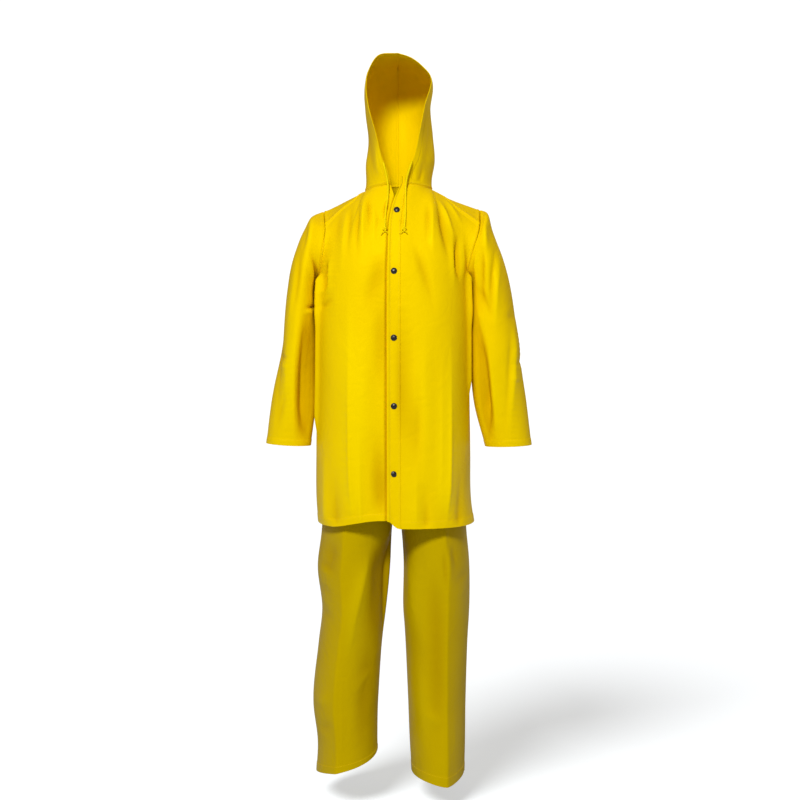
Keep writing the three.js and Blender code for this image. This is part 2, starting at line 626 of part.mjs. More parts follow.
// The waistband stands on the trousers' top edge: right front, left front, left back, right back
function waistRing(turn, v) {
  const quarters = [['right', 'front'], ['left', 'front'], ['left', 'back'], ['right', 'back']];
  const at = (turn - Math.floor(turn)) * 4;
  const index = Math.min(3, Math.floor(at));
  const share = at - index;
  const [side, face] = quarters[index];
  const point = trouserSurface(side, face, index % 2 ? 1 - share : share, 1);
  return point.setZ(WAIST_Z + v * WAISTBAND_HEIGHT);
}

// A domed snap cap, seated on the fly on its snap line
function addSnaps() {
  const radius = SNAP_DIAMETER / 2;
  const profile = SNAP_PROFILE.map(([out, up]) => new THREE.Vector2(out * radius, up * SNAP_HEIGHT));
  SNAPS.forEach(({ name, z }) => {
    const v = shareAtHeight(z);
    const point = leftFront(SNAP_COLUMN, v);
    const acrossFly = leftFront(FLY_COLUMN, v).sub(leftFront(0, v));
    const upFly = leftFront(SNAP_COLUMN, v + 0.01).sub(leftFront(SNAP_COLUMN, v - 0.01));
    const normal = acrossFly.cross(upFly).normalize();
    const cap = new THREE.LatheGeometry(profile, 18);
    const mesh = add(name, cap, blackEnamel);
    mesh.position.copy(point).addScaledVector(normal, FLY_LIFT + WALL + SNAP_SEAT);
    mesh.quaternion.setFromUnitVectors(new THREE.Vector3(0, 1, 0), normal);
  });
}

// The panel share v at which the snap line reaches a height
function shareAtHeight(z) {
  let low = 0;
  let high = 1;
  for (let i = 0; i < 30; i += 1) {
    const middle = (low + high) / 2;
    if (leftFront(SNAP_COLUMN, middle).z < z) low = middle;
    else high = middle;
  }
  return (low + high) / 2;
}

// Drawcord ends and their knots
function addCords() {
  const section = new THREE.Shape();
  section.absarc(0, 0, CORD_DIAMETER / 2, 0, 2 * Math.PI);
  const knotProfile = KNOT_PROFILE.map(([out, along]) => new THREE.Vector2(out, along));
  Object.entries(CORD_ROUTES).forEach(([name, route]) => {
    const path = new THREE.CatmullRomCurve3(route.map((p) => new THREE.Vector3(...p)));
    const tube = new THREE.ExtrudeGeometry(section, { steps: 22, extrudePath: path, curveSegments: 4 });
    add(name, tube, cordYellow);
    const knot = add(name.replace('drawcord', 'knot'), new THREE.LatheGeometry(knotProfile, 10), cordYellow);
    const end = path.getPoint(1);
    const down = path.getTangent(1);
    knot.position.copy(end).addScaledVector(down, SEAM_GAP);
    knot.quaternion.setFromUnitVectors(new THREE.Vector3(0, -1, 0), down);
  });
}

addJacket();
addSleeves();
addHood();
addTrousers();
addSnaps();
addCords();

export default group;
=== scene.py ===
# %% [markdown]
# # A yellow rain suit, cut and sewn from coated cloth
# The suit is a hooded jacket with a snapped front fly, worn hollow over plain trousers.
# Every panel was cut flat, sewn at its edges and then hung, so each one is a surface with two parameters.
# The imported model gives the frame. The sizes below are the garment's own, in millimetres, and turn to metres
# when a mesh is made.

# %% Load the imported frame
import math

import bpy
import numpy as np
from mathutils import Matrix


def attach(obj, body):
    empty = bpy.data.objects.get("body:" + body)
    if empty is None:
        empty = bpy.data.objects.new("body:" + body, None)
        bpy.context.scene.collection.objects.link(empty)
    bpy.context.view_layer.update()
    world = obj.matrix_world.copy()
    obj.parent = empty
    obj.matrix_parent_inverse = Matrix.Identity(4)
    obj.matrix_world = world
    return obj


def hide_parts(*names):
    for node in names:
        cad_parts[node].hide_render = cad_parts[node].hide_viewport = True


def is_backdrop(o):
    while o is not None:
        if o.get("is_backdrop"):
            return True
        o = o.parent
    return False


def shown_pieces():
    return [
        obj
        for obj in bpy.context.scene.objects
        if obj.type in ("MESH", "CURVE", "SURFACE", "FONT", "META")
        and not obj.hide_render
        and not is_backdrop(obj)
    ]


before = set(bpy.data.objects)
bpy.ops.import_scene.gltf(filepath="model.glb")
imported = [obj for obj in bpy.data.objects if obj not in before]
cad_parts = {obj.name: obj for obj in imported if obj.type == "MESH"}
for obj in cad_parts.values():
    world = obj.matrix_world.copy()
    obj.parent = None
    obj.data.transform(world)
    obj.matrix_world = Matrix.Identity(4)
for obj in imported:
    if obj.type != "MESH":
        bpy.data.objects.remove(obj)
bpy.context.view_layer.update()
MM = 0.001
print("nodes in the frame:", len(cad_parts))

# %% [markdown]
# ## The camera
# The camera stands 3.2 m in front of the suit at waist height and looks very slightly down.
# A long lens would flatten the suit more, and a short one would swell its chest, so the lens follows
# the distance.

# %% Place the camera
CAMERA_AT = (0.0049, -3.2, -0.357)
CAMERA_PITCH_DEG = 2.84
CAMERA_LENS_MM = 58.05
camera_data = bpy.data.cameras.new("camera")
camera_data.sensor_width = 36
camera_data.lens = CAMERA_LENS_MM
camera = bpy.data.objects.new("camera", camera_data)
camera.location = CAMERA_AT
camera.rotation_euler = (math.radians(90 - CAMERA_PITCH_DEG), 0, 0)
bpy.context.scene.collection.objects.link(camera)
bpy.context.scene.camera = camera

# %% [markdown]
# ## Small tools for surfaces
# A garment maker marks sizes at a few heights and draws a smooth line between the marks.
# `through` does the same: a cubic curve through the rows of a table, for whole arrays at once.

# %% Curves through tables
PAST_END = 0.2

def table(names, *rows):
    """A table with named columns, one row of numbers for each section."""
    return dict(zip(names.split(), np.array(rows, float).T))

def mix(a, b, share):
    """The value between a and b at a share: a + (b - a) share."""
    return a + (b - a) * share

def ease(value):
    """A share from 0 to 1 that starts and stops gently: 3t^2 - 2t^3."""
    t = np.clip(value, 0, 1)
    return t * t * (3 - 2 * t)

def hermite(start, start_pull, end, end_pull, t):
    """The cubic from start to end whose slopes there are the pulls, each weighted by its own cubic in t."""
    rest = 1 - t
    return (start * rest * rest * (1 + 2 * t) + start_pull * t * rest * rest
            + end * t * t * (3 - 2 * t) - end_pull * t * t * rest)

def through(knots, values, at):
    """Cubic Hermite curve through rows; its slope at a row is the mean of the two slopes beside it."""
    at = np.asarray(at, float)
    if values.ndim == 1:
        values = np.broadcast_to(values.reshape((-1,) + (1,) * at.ndim), (len(knots),) + at.shape)
    spans = np.diff(knots).reshape((-1,) + (1,) * at.ndim)
    slopes = np.diff(values, axis=0) / spans
    pulls = np.concatenate([slopes[:1], (slopes[:-1] + slopes[1:]) / 2, slopes[-1:]])
    i = np.clip(np.searchsorted(knots, at) - 1, 0, len(knots) - 2)
    pick = lambda rows, k: np.take_along_axis(rows, k[None], 0)[0]
    span = np.diff(knots)[i]
    t = np.clip((at - knots[i]) / span, -PAST_END, 1 + PAST_END)
    return hermite(pick(values, i), pick(pulls, i) * span, pick(values, i + 1), pick(pulls, i + 1) * span, t)

def column(rows, key, name, at):
    """One column of a table as a smooth curve over its key column."""
    return through(rows[key], rows[name], at)

def stack(x, y, z):
    """Points from their three coordinates."""
    return np.stack(np.broadcast_arrays(x, y, z), axis=-1)

def unit(vectors):
    """Each vector divided by its own length."""
    return vectors / np.maximum(np.linalg.norm(vectors, axis=-1, keepdims=True), 1e-9)

def travelled(line):
    """The distance along a line of points, from 0 at its first one."""
    return np.concatenate([[0], np.cumsum(np.linalg.norm(np.diff(line, axis=0), axis=1))])

# %% [markdown]
# ## Meshes from grids
# Each piece is a grid of points joined into quads. `new_mesh` also stores a UV map in metres, so that
# a weave keeps its real pitch, and a `relief` value that tells the material where folds rise or sink; from it
# the material paints shade into the low places.

# %% Grid to mesh
def grid_quads(rows, columns, wrap=False):
    """Corner numbers of the quads of a grid with its points stored row after row."""
    j, i = np.meshgrid(np.arange(rows - 1), np.arange(columns if wrap else columns - 1), indexing="ij")
    k = (i + 1) % columns
    quads = np.stack([j * columns + i, j * columns + k, (j + 1) * columns + k, (j + 1) * columns + i], -1)
    return quads.reshape(-1, 4)

def fan_caps(first_ring, last_ring, point):
    """Triangles that close a tube at both ends, on two middle points stored from `point` on."""
    low_middle, high_middle = np.full(len(first_ring), point), np.full(len(last_ring), point + 1)
    low = np.stack([np.roll(first_ring, -1), first_ring, low_middle, low_middle], -1)
    high = np.stack([last_ring, np.roll(last_ring, -1), high_middle, high_middle], -1)
    return np.concatenate([low, high])

def new_mesh(name, points, faces, uv=None, around=None, relief=None, sharp_deg=None):
    """A mesh at the origin from points in millimetres. A quad with its last corner twice is a triangle."""
    faces = np.asarray(faces)
    real = np.ones(faces.shape, bool)
    real[:, -1] = faces[:, -1] != faces[:, -2]
    corners, sizes = faces[real], real.sum(axis=1)
    mesh = bpy.data.meshes.new(name)
    mesh.vertices.add(len(points))
    mesh.vertices.foreach_set("co", (np.asarray(points, np.float32) * MM).ravel())
    mesh.loops.add(len(corners))
    mesh.loops.foreach_set("vertex_index", corners.astype(np.int32))
    mesh.polygons.add(len(faces))
    starts = np.concatenate([[0], np.cumsum(sizes)[:-1]])
    mesh.polygons.foreach_set("loop_start", starts.astype(np.int32))
    mesh.polygons.foreach_set("use_smooth", np.ones(len(faces), bool))
    if uv is not None:
        spread = uv[faces]
        if around is not None:
            whole = around[faces]
            behind = spread[..., 0].max(axis=1, keepdims=True) - spread[..., 0] > whole / 2
            spread[..., 0] += whole * behind
        layer = mesh.uv_layers.new(name="cut")
        layer.data.foreach_set("uv", spread[real].astype(np.float32).ravel())
    if relief is not None:
        attribute = mesh.attributes.new("relief", "FLOAT", "POINT")
        attribute.data.foreach_set("value", np.asarray(relief, np.float32).ravel())
    mesh.update(calc_edges=True)
    if sharp_deg:
        mesh.set_sharp_from_angle(angle=math.radians(sharp_deg))
    piece = bpy.data.objects.new(name, mesh)
    bpy.context.scene.collection.objects.link(piece)
    return piece

# %% [markdown]
# ## Drawcord ends
# A braided cord runs in the hood's edge and leaves it on each side of the neck.
# Its free ends hang over the chest, so each is a tube along the route that the solids follow too.
# The braid is a slight swelling of the tube's radius where the strands cross, and its height also paints shade
# between the strands and light on their crossings.

# %% Cord routes and tubes
CORD_RADIUS, CORD_SIDES, CORD_RING_STEP, CORD_BRAID = 2.5, 24, 0.7, 0.14
CORD_ROUTES = {
    "drawcord_right": [
        (-35, -90.3, 57), (-34, -94, 52.5), (-31.5, -95, 43), (-27, -92.5, 24), (-24, -91.5, 4),
        (-24, -92.5, -20), (-28, -101.2, -50), (-30.5, -114.2, -80), (-31, -123.8, -100)],
    "drawcord_left": [
        (33, -90.6, 60), (32, -94.5, 55.5), (28, -95.5, 44), (21.5, -93.5, 22), (18.5, -93, 2),
        (18, -96, -20), (18, -106.8, -50), (17, -119, -78), (15, -129.2, -100)],
}

def route_line(route, spacing):
    """The route as evenly spaced points: a smooth curve through its rows by distance along them."""
    rows = np.array(route, float)
    along = travelled(rows)
    fine = np.linspace(0, along[-1], 400)
    line = np.stack([through(along, rows[:, k], fine) for k in range(3)], -1)
    real = travelled(line)
    even = np.linspace(0, real[-1], int(real[-1] / spacing) + 1)
    return np.stack([np.interp(even, real, line[:, k]) for k in range(3)], -1), real[-1]

def tube(line, radius, sides, braid=0.0, lay=5.0):
    """A closed tube and its braid's height at each point: circles stand square to the line, carried along it.
    The braid is |sin(4a + s) sin(4a - s)|, with a the turn and s pi times the distance over the lay."""
    pull = unit(np.gradient(line, axis=0))
    across = unit(np.cross(pull, (0.35, 0.1, 1.0)))
    up = np.cross(pull, across)
    turn = np.linspace(0, 2 * math.pi, sides, endpoint=False)
    wound = travelled(line)[:, None] * math.pi / lay
    strands = np.abs(np.sin(4 * turn + wound) * np.sin(4 * turn - wound)) - 0.5
    size = np.broadcast_to(np.asarray(radius, float).reshape(-1, 1), (len(line), 1)) * (1 + braid * strands)
    ring = size[..., None] * (np.cos(turn)[:, None] * across[:, None] + np.sin(turn)[:, None] * up[:, None])
    points = np.concatenate([(line[:, None] + ring).reshape(-1, 3), line[:1], line[-1:]])
    i, count = np.arange(sides), len(line) * sides
    faces = np.concatenate([grid_quads(len(line), sides, wrap=True), fan_caps(i, i + count - sides, count)])
    return points, faces, np.concatenate([strands.ravel(), (0, 0)])

def join_parts(parts):
    """Several (points, faces, relief) parts as one."""
    points, faces, relief = zip(*parts)
    counts = np.cumsum([0] + [len(part) for part in points])
    faces = [part + count for part, count in zip(faces, counts)]
    return np.concatenate(points), np.concatenate(faces), np.concatenate(relief)

cords, cord_lines = {}, {}
for cord_name, route in CORD_ROUTES.items():
    line, length = route_line(route, CORD_RING_STEP)
    points, faces, height = tube(line, CORD_RADIUS, CORD_SIDES, braid=CORD_BRAID)
    # The braid's height goes to the material as relief: painted shade between strands, painted light on
    # crossings
    cords[cord_name] = new_mesh(cord_name + "_braid", points, faces, relief=height)
    cord_lines[cord_name] = (line, length)
    print(cord_name, "length mm", round(length, 1))

# %% [markdown]
# ## End knots
# Each cord end is tied in a small overhand knot, and two short frayed tails spread below it.
# A trefoil curve with a round section reads as an overhand knot, and the tails are tapering strands.

# %% Knots and tails
KNOT_SIZE, KNOT_CORD, KNOT_DROP = 1.55, 1.7, 4.2
TAIL_STRANDS, TAIL_RADIUS, TAIL_TAPER, TAIL_DROP, TAIL_SEED = 7, 0.75, 0.4, 3, 3

def overhand(centre):
    """A trefoil: (sin t + 2 sin 2t, sin 3t, cos t - 2 cos 2t), scaled to the knot and closed."""
    t = np.linspace(0, 2 * math.pi, 72)
    curve = np.stack([np.sin(t) + 2 * np.sin(2 * t), 1.1 * np.sin(3 * t), np.cos(t) - 2 * np.cos(2 * t)], -1)
    return tube(centre + curve * KNOT_SIZE, KNOT_CORD, 12, braid=0.1, lay=3.0)

def tails(centre, sides, seed):
    """Tapering strands that leave the knot downwards and spread to both sides along the chest: x goes with a
    power of t, z falls under a half sine, and each strand strays by its own seeded share."""
    rng = np.random.default_rng(seed)
    parts = []
    for side, reach, drop in sides:
        for k in range(TAIL_STRANDS):
            t = np.linspace(0, 1, 12)
            spread = rng.uniform(-1.6, 1.6, 2)
            x = side * reach * t ** 1.2 + spread[0] * t
            z = -3 - drop * t + 2.2 * np.sin(math.pi * t) + spread[1] * t
            y = -0.8 * np.sin(math.pi * t) + rng.uniform(-0.6, 0.9) * t - 1.6 * t
            parts.append(tube(centre + np.stack([x, y, z], -1), TAIL_RADIUS - TAIL_TAPER * t, 6))
    return parts

TAILS = {"drawcord_right": [(-1, 9, 7), (1, 7, 4)], "drawcord_left": [(-1, 10, 7), (1, 7, 5)]}
knots = {}
for seed, (cord_name, (line, length)) in enumerate(cord_lines.items()):
    down = unit(line[-1] - line[-8])
    centre = line[-1] + down * KNOT_DROP
    parts = [overhand(centre)] + tails(centre + down * TAIL_DROP, TAILS[cord_name], seed + TAIL_SEED)
    # The strands' height goes to the material as relief: painted shade between strands and painted light on
    # crossings, on the tails too, whose shape has no braid
    points, faces, height = join_parts(parts)
    knots[cord_name] = new_mesh(cord_name.replace("drawcord", "knot") + "_tied", points, faces, relief=height)
    print(knots[cord_name].name, "faces", len(faces))

# %% [markdown]
# ## The jacket's form
# Below the chest the jacket is a stack of slightly squared rings. Above it a yoke curves from the chest
# ring to the neck seam and the shoulder ridge, and is drawn to the armholes at its sides.
# `across` runs from the right side seam (-1) to the left one (1), `height` from hem (-1) to top (1).

# %% Jacket sizes
CHEST_Z, HEM_Z = -215, -813
RING_SQUARENESS = 0.04
NECK_SHARE = 0.45
YOKE_CHEST, YOKE_NECK, YOKE_FORWARD, YOKE_UP = 0.95, 0.9, 0.4, 0.92
DRAW_FROM, DRAW_POWER = 0.5, 1.6
SEAM_DROP, SEAM_RIGHT, SEAM_LEFT = 0.2, 0.14, 0.3
FRONT_HEM_LIFT, HEM_CORNER = 19, 0.045
HEM_SHARE = 0.62
# Where the right front's hem begins to rise, its run, and where the panel steps back below the fly
RIGHT_HEM_FROM, RIGHT_HEM_RUN = -0.55, 0.45
UNDERLAP_FROM, UNDERLAP_RUN, UNDERLAP_INSET = -0.3, 0.18, 3
FLY_COLUMN, SNAP_COLUMN, PLAIN_COLUMN, FLY_TOP = 0.1, 0.05, 0.1125, 1.09
WALL, FLY_LIFT = 1.5, 0.3
QUARTER = math.pi / 2
NECK = {"right": 81, "left": 84, "front": 81, "back": 86,
        "right_z": -3, "left_z": 1, "front_z": 9, "back_z": 20}
JACKET_RINGS = table(
    "z right left front back",
    (-830, 197, 191, 172, 166), (-760, 203, 181, 172, 166), (-640, 203, 179, 170, 166),
    (-450, 200, 176, 166, 164), (-300, 198, 175, 160, 158), (-215, 195, 173, 153, 148),
    (-150, 192, 172, 146, 138))
SHOULDER = table(
    "reach right left y right_z left_z",
    (0, 81, 84, 0, -3, 1), (0.2, 101, 107, 4, -12, -10), (0.5, 131, 141, 8, -25, -24),
    (1, 184, 203, 10, -50, -46))
ARMHOLES = {
    "right": {
        "front": table("rise x y z", (0, -195, 0, -215), (0.25, -192, -46, -203), (0.5, -184, -72, -155),
                       (0.75, -177, -56, -100), (1, -184, 10, -50)),
        "back": table("rise x y z", (0, -195, 0, -215), (0.25, -192, 48, -200), (0.5, -186, 78, -145),
                      (0.75, -180, 64, -88), (1, -184, 10, -50))},
    "left": {
        "front": table("rise x y z", (0, 173, 0, -215), (0.25, 170, -46, -200), (0.5, 181, -70, -150),
                       (0.75, 197, -54, -98), (1, 203, 10, -46)),
        "back": table("rise x y z", (0, 173, 0, -215), (0.25, 170, 48, -198), (0.5, 181, 78, -142),
                      (0.75, 196, 62, -86), (1, 203, 10, -46))},
}
FLY_EDGE = table(
    "height outer inner",
    (-1, -0.068, 0.019), (0.3, -0.068, 0.019), (0.6, -0.062, 0.026), (0.8, -0.03, 0.046), (1, 0.03, 0.0585))
UNDERLAP_EDGE = table("height edge", (-1, 0.03), (0.3, 0.03), (0.7, 0), (1, -0.068))

# %% Rings, neck seam and yoke
def jacket_ring(face, across, z):
    """A squared oval: x = width((1+q) sin a + q sin 3a), y = depth((1+q) cos a - q cos 3a)."""
    a = across * QUARTER
    get = lambda key: column(JACKET_RINGS, "z", key, z)
    width, depth = np.where(across < 0, get("right"), get("left")), get(face)
    q = RING_SQUARENESS
    x = width * ((1 + q) * np.sin(a) + q * np.sin(3 * a))
    y = depth * ((1 + q) * np.cos(a) - q * np.cos(3 * a))
    return stack(x, -y if face == "front" else y, z)

def neck_seam(angle):
    """The neck's oval, higher at the back than at the sides: z goes with cos squared."""
    along, right = np.cos(angle), angle < 0
    x = np.where(right, NECK["right"], NECK["left"]) * np.sin(angle)
    y = -np.where(along > 0, NECK["front"], NECK["back"]) * along
    side_z = np.where(right, NECK["right_z"], NECK["left_z"])
    middle_z = np.where(along > 0, NECK["front_z"], NECK["back_z"])
    return stack(x, y, mix(side_z, middle_z, along * along))

def jacket_top(face, across):
    """Neck seam for the inner columns, shoulder ridge for the outer ones."""
    turn = across / NECK_SHARE
    sign = np.where(turn < 0, -1, 1)
    angle = turn * QUARTER if face == "front" else sign * math.pi - turn * QUARTER
    reach = np.clip((np.abs(across) - NECK_SHARE) / (1 - NECK_SHARE), 0, 1)
    get = lambda key: column(SHOULDER, "reach", key, reach)
    ridge = stack(np.where(across < 0, -get("right"), get("left")), get("y"),
                  np.where(across < 0, get("right_z"), get("left_z")))
    return np.where((np.abs(turn) <= 1)[..., None], neck_seam(angle), ridge)

def armhole_point(side, face, rise):
    """The armhole's curve from the underarm (rise 0) to the shoulder tip (rise 1)."""
    rows, at = ARMHOLES[side][face], np.clip(rise, 0, 1)
    return stack(*(column(rows, "rise", key, at) for key in "xyz"))

def yoke_column(face, across, height):
    """A Hermite curve that leaves the chest ring upwards and meets the neck or ridge at its own slope."""
    chest = np.full(np.shape(across), float(CHEST_Z))
    start, end = jacket_ring(face, across, chest), jacket_top(face, across)
    reach = np.linalg.norm(end - start, axis=-1, keepdims=True)
    start_pull = unit(jacket_ring(face, across, chest + 10) - start) * reach * YOKE_CHEST
    shoulder = ease((np.abs(across) - 0.1) / (NECK_SHARE - 0.1))
    forward = (1 if face == "front" else -1) * mix(YOKE_FORWARD, 1, shoulder)
    end_pull = unit(stack(0 * forward, forward, mix(YOKE_UP, 0, shoulder)))
    end_pull = end_pull * reach * mix(YOKE_NECK, 1, shoulder)[..., None]
    return hermite(start, start_pull, end, end_pull, height[..., None])

def jacket_surface(face, across, height, hem_lift=0.0):
    """Rings below the chest and the yoke above it, drawn to the armholes by a power of the distance."""
    across, height = np.broadcast_arrays(np.asarray(across, float), np.asarray(height, float))
    low = jacket_ring(face, across, mix(CHEST_Z, HEM_Z + hem_lift, -np.minimum(height, 0)))
    up = np.maximum(height, 0)
    draw = np.clip((np.abs(across) - DRAW_FROM) / (1 - DRAW_FROM), 0, 1) ** DRAW_POWER
    edge, right = np.where(across < 0, -1.0, 1.0), (across < 0)[..., None]
    hole = np.where(right, armhole_point("right", face, up), armhole_point("left", face, up))
    yoke = yoke_column(face, across, up) + (hole - yoke_column(face, edge, up)) * draw[..., None]
    return np.where((height <= 0)[..., None], low, yoke)

def seam_height(across):
    """The shoulder seam lies forward of the ridge, less so near the neck."""
    run = np.where(across < 0, SEAM_RIGHT, SEAM_LEFT)
    return 1 - SEAM_DROP * ease((np.abs(across) - NECK_SHARE) / run)

def panel_height(v, top):
    """Height for a panel share v: -1 at the hem, 0 at the chest, `top` at the end, and even in between."""
    return np.where(v < HEM_SHARE, v / HEM_SHARE - 1, (v - HEM_SHARE) / (1 - HEM_SHARE) * top)

# %% Jacket panels
def left_front(u, v):
    """Fly columns below u 0.1, then even shares; the fly's lower corner is rounded by a bell curve."""
    fly_height = np.minimum(panel_height(v, 1), 1)
    outer, inner = (column(FLY_EDGE, "height", key, fly_height) for key in ("outer", "inner"))
    beside = mix(inner, PLAIN_COLUMN, (u - FLY_COLUMN) / (PLAIN_COLUMN - FLY_COLUMN))
    on_fly = mix(outer, inner, u / FLY_COLUMN)
    across = np.where(u < FLY_COLUMN, on_fly, np.where(u < PLAIN_COLUMN, beside, u))
    height = panel_height(v, seam_height(across))
    rounding = FRONT_HEM_LIFT * np.exp(-((across - outer) / HEM_CORNER) ** 2)
    return jacket_surface("front", across, height, rounding * np.clip(-height, 0, 1))

def underlap(u, height):
    """The right panel's own columns: even shares, except where it runs to its slanted edge behind the fly."""
    edge = column(UNDERLAP_EDGE, "height", "edge", height)
    return np.where(u < PLAIN_COLUMN, mix(edge, -PLAIN_COLUMN, u / PLAIN_COLUMN), -u)

def right_front(u, v):
    """Its hem rises towards the fly, and it steps back by the inset to lie behind the fly."""
    across = underlap(u, panel_height(v, 1))
    height = panel_height(v, seam_height(across))
    lift = FRONT_HEM_LIFT * ease((across - RIGHT_HEM_FROM) / RIGHT_HEM_RUN)
    point = jacket_surface("front", across, height, lift * np.clip(-height, 0, 1))
    return point + stack(0, UNDERLAP_INSET * ease((across - UNDERLAP_FROM) / UNDERLAP_RUN), 0)

def jacket_back(u, v):
    """The back panel wraps over the ridge onto the front, up to the forward shoulder seam."""
    across = -u
    height = panel_height(v, 2 - seam_height(across))
    behind = jacket_surface("back", across, np.minimum(height, 1))
    before = jacket_surface("front", across, 2 - np.maximum(height, 1))
    return np.where((height <= 1)[..., None], behind, before)

print("neck seam, left side, mm:", np.round(neck_seam(np.array(QUARTER)), 1))

# %% [markdown]
# ## Sleeves, hood and trousers
# A sleeve is a spline of rings from the armhole to the cuff. The hood is two halves whose rings
# leave the face edge and meet at the centre seam. A trouser leg is a front and a back half with a pressed
# crease down each.

# %% Sleeve sizes and surface
ARMHOLE_GAP = 0.3
SLEEVES = {
    "right": table(
        "step out_x out_z in_x in_z front back",
        (0.05, 211, -64, 202, -224, 78, 84), (0.1, 232, -98, 203, -250, 84, 88),
        (0.2, 259, -169, 202, -296, 90, 90), (0.32, 273, -245, 202, -340, 90, 86),
        (0.5, 285, -367, 203, -410, 86, 78), (0.62, 294, -420, 204, -450, 80, 72),
        (0.8, 313, -516, 205, -530, 66, 62), (1, 327, -622, 217, -628, 52, 50)),
    "left": table(
        "step out_x out_z in_x in_z front back",
        (0.05, 220, -56, 180, -224, 78, 84), (0.1, 232, -96, 181, -250, 84, 88),
        (0.2, 260, -169, 180, -296, 88, 88), (0.32, 279, -245, 179, -340, 88, 84),
        (0.5, 296, -367, 180, -410, 84, 74), (0.62, 301, -420, 181, -450, 78, 70),
        (0.8, 318, -516, 190, -530, 64, 62), (1, 332, -626, 217, -630, 52, 50)),
}

def armhole_ring(side, turn):
    """Turn 0 is the underarm, a quarter the front, a half the shoulder tip."""
    t = turn - np.floor(turn)
    front, back = armhole_point(side, "front", t * 2), armhole_point(side, "back", 2 - t * 2)
    return np.where((t <= 0.5)[..., None], front, back)

def sleeve_surface(side):
    """Rings along the arm: x and z go with cos a between the outer and inner line, y with |sin a|."""
    sign, rows = (-1 if side == "right" else 1), SLEEVES[side]

    def surface(turn, step):
        """Each turn of the ring is its own spline down the arm, from the armhole through every ring."""
        turn, step = np.broadcast_arrays(np.asarray(turn, float), np.asarray(step, float))
        start = armhole_ring(side, turn) + stack(sign * ARMHOLE_GAP, 0, 0)
        a, lift = turn * 2 * math.pi, (slice(None),) + (None,) * turn.ndim
        get = lambda key: rows[key][lift]
        x = sign * ((get("out_x") + get("in_x")) / 2 - (get("out_x") - get("in_x")) / 2 * np.cos(a))
        y = np.where(np.sin(a) > 0, -get("front"), get("back")) * np.abs(np.sin(a))
        z = (get("out_z") + get("in_z")) / 2 - (get("out_z") - get("in_z")) / 2 * np.cos(a)
        knots = np.concatenate([[0], rows["step"]])
        return stack(*(through(knots, np.concatenate([start[None, ..., k], part]), step)
                       for k, part in enumerate((x, y, z))))
    return surface

# %% Hood sizes and surface
HOOD_START = {"right": 0.068 / NECK_SHARE, "left": 0.064 / NECK_SHARE}
HOOD_SETTLE = 4
HOOD_EDGE = {
    "right": table(
        "rise x y z",
        (0, -22, -79, 9), (0.08, -26, -85, 34), (0.2, -39, -91, 68), (0.38, -54, -92, 130),
        (0.55, -70, -88, 190), (0.7, -76, -82, 242), (0.82, -68, -78, 283), (0.91, -45, -75, 315),
        (1, 0, -75, 319)),
    "left": table(
        "rise x y z",
        (0, 17, -80, 9), (0.08, 21, -85, 35), (0.2, 38, -90, 72), (0.38, 51, -92, 130),
        (0.55, 64, -88, 195), (0.72, 79, -80, 258), (0.84, 58, -77, 288), (0.92, 32, -75, 308),
        (1, 0, -75, 319)),
}
HOOD_BODY = table(
    "rise back_y back_z right left square",
    (0, 86, 20, 70, 70, 0), (0.2, 106, 86, 54, 64, 0.35), (0.4, 124, 152, 33, 48, 0.8),
    (0.6, 130, 212, 19, 24, 1), (0.8, 118, 268, 14, 14, 1), (0.92, 98, 300, 7, 7, 1), (1, 74, 317, 0, 0, 1))

def hood_surface(side):
    """One half of the hood: its body, settled onto the neck seam by a power of the distance from it."""
    sign, edge = (-1 if side == "right" else 1), HOOD_EDGE[side]

    def body(s, t):
        """From the face edge to the centre seam: x swells with sin(pi s), y goes round, z eases up."""
        get = lambda key: column(HOOD_BODY, "rise", key, t)
        edge_x, edge_y, edge_z = (column(edge, "rise", key, t) for key in "xyz")
        square = get("square")
        fall = mix(1 - s, np.cos(s * QUARTER), square)
        along = mix((1 - np.cos(s * math.pi)) / 2, np.sin(s * QUARTER), square)
        return stack(edge_x * fall + sign * get(side) * np.sin(s * math.pi),
                     mix(edge_y, get("back_y"), along), mix(edge_z, get("back_z"), ease(s)))

    def surface(s, t):
        """s runs from the face edge to the centre seam, t from the neck seam to the top."""
        s, t = np.broadcast_arrays(np.asarray(s, float), np.asarray(t, float))
        angle = sign * mix(HOOD_START[side] * QUARTER, math.pi, s)
        settle = neck_seam(angle) - body(s, 0 * t)
        return body(s, t) + settle * ((1 - t) ** HOOD_SETTLE)[..., None]
    return surface

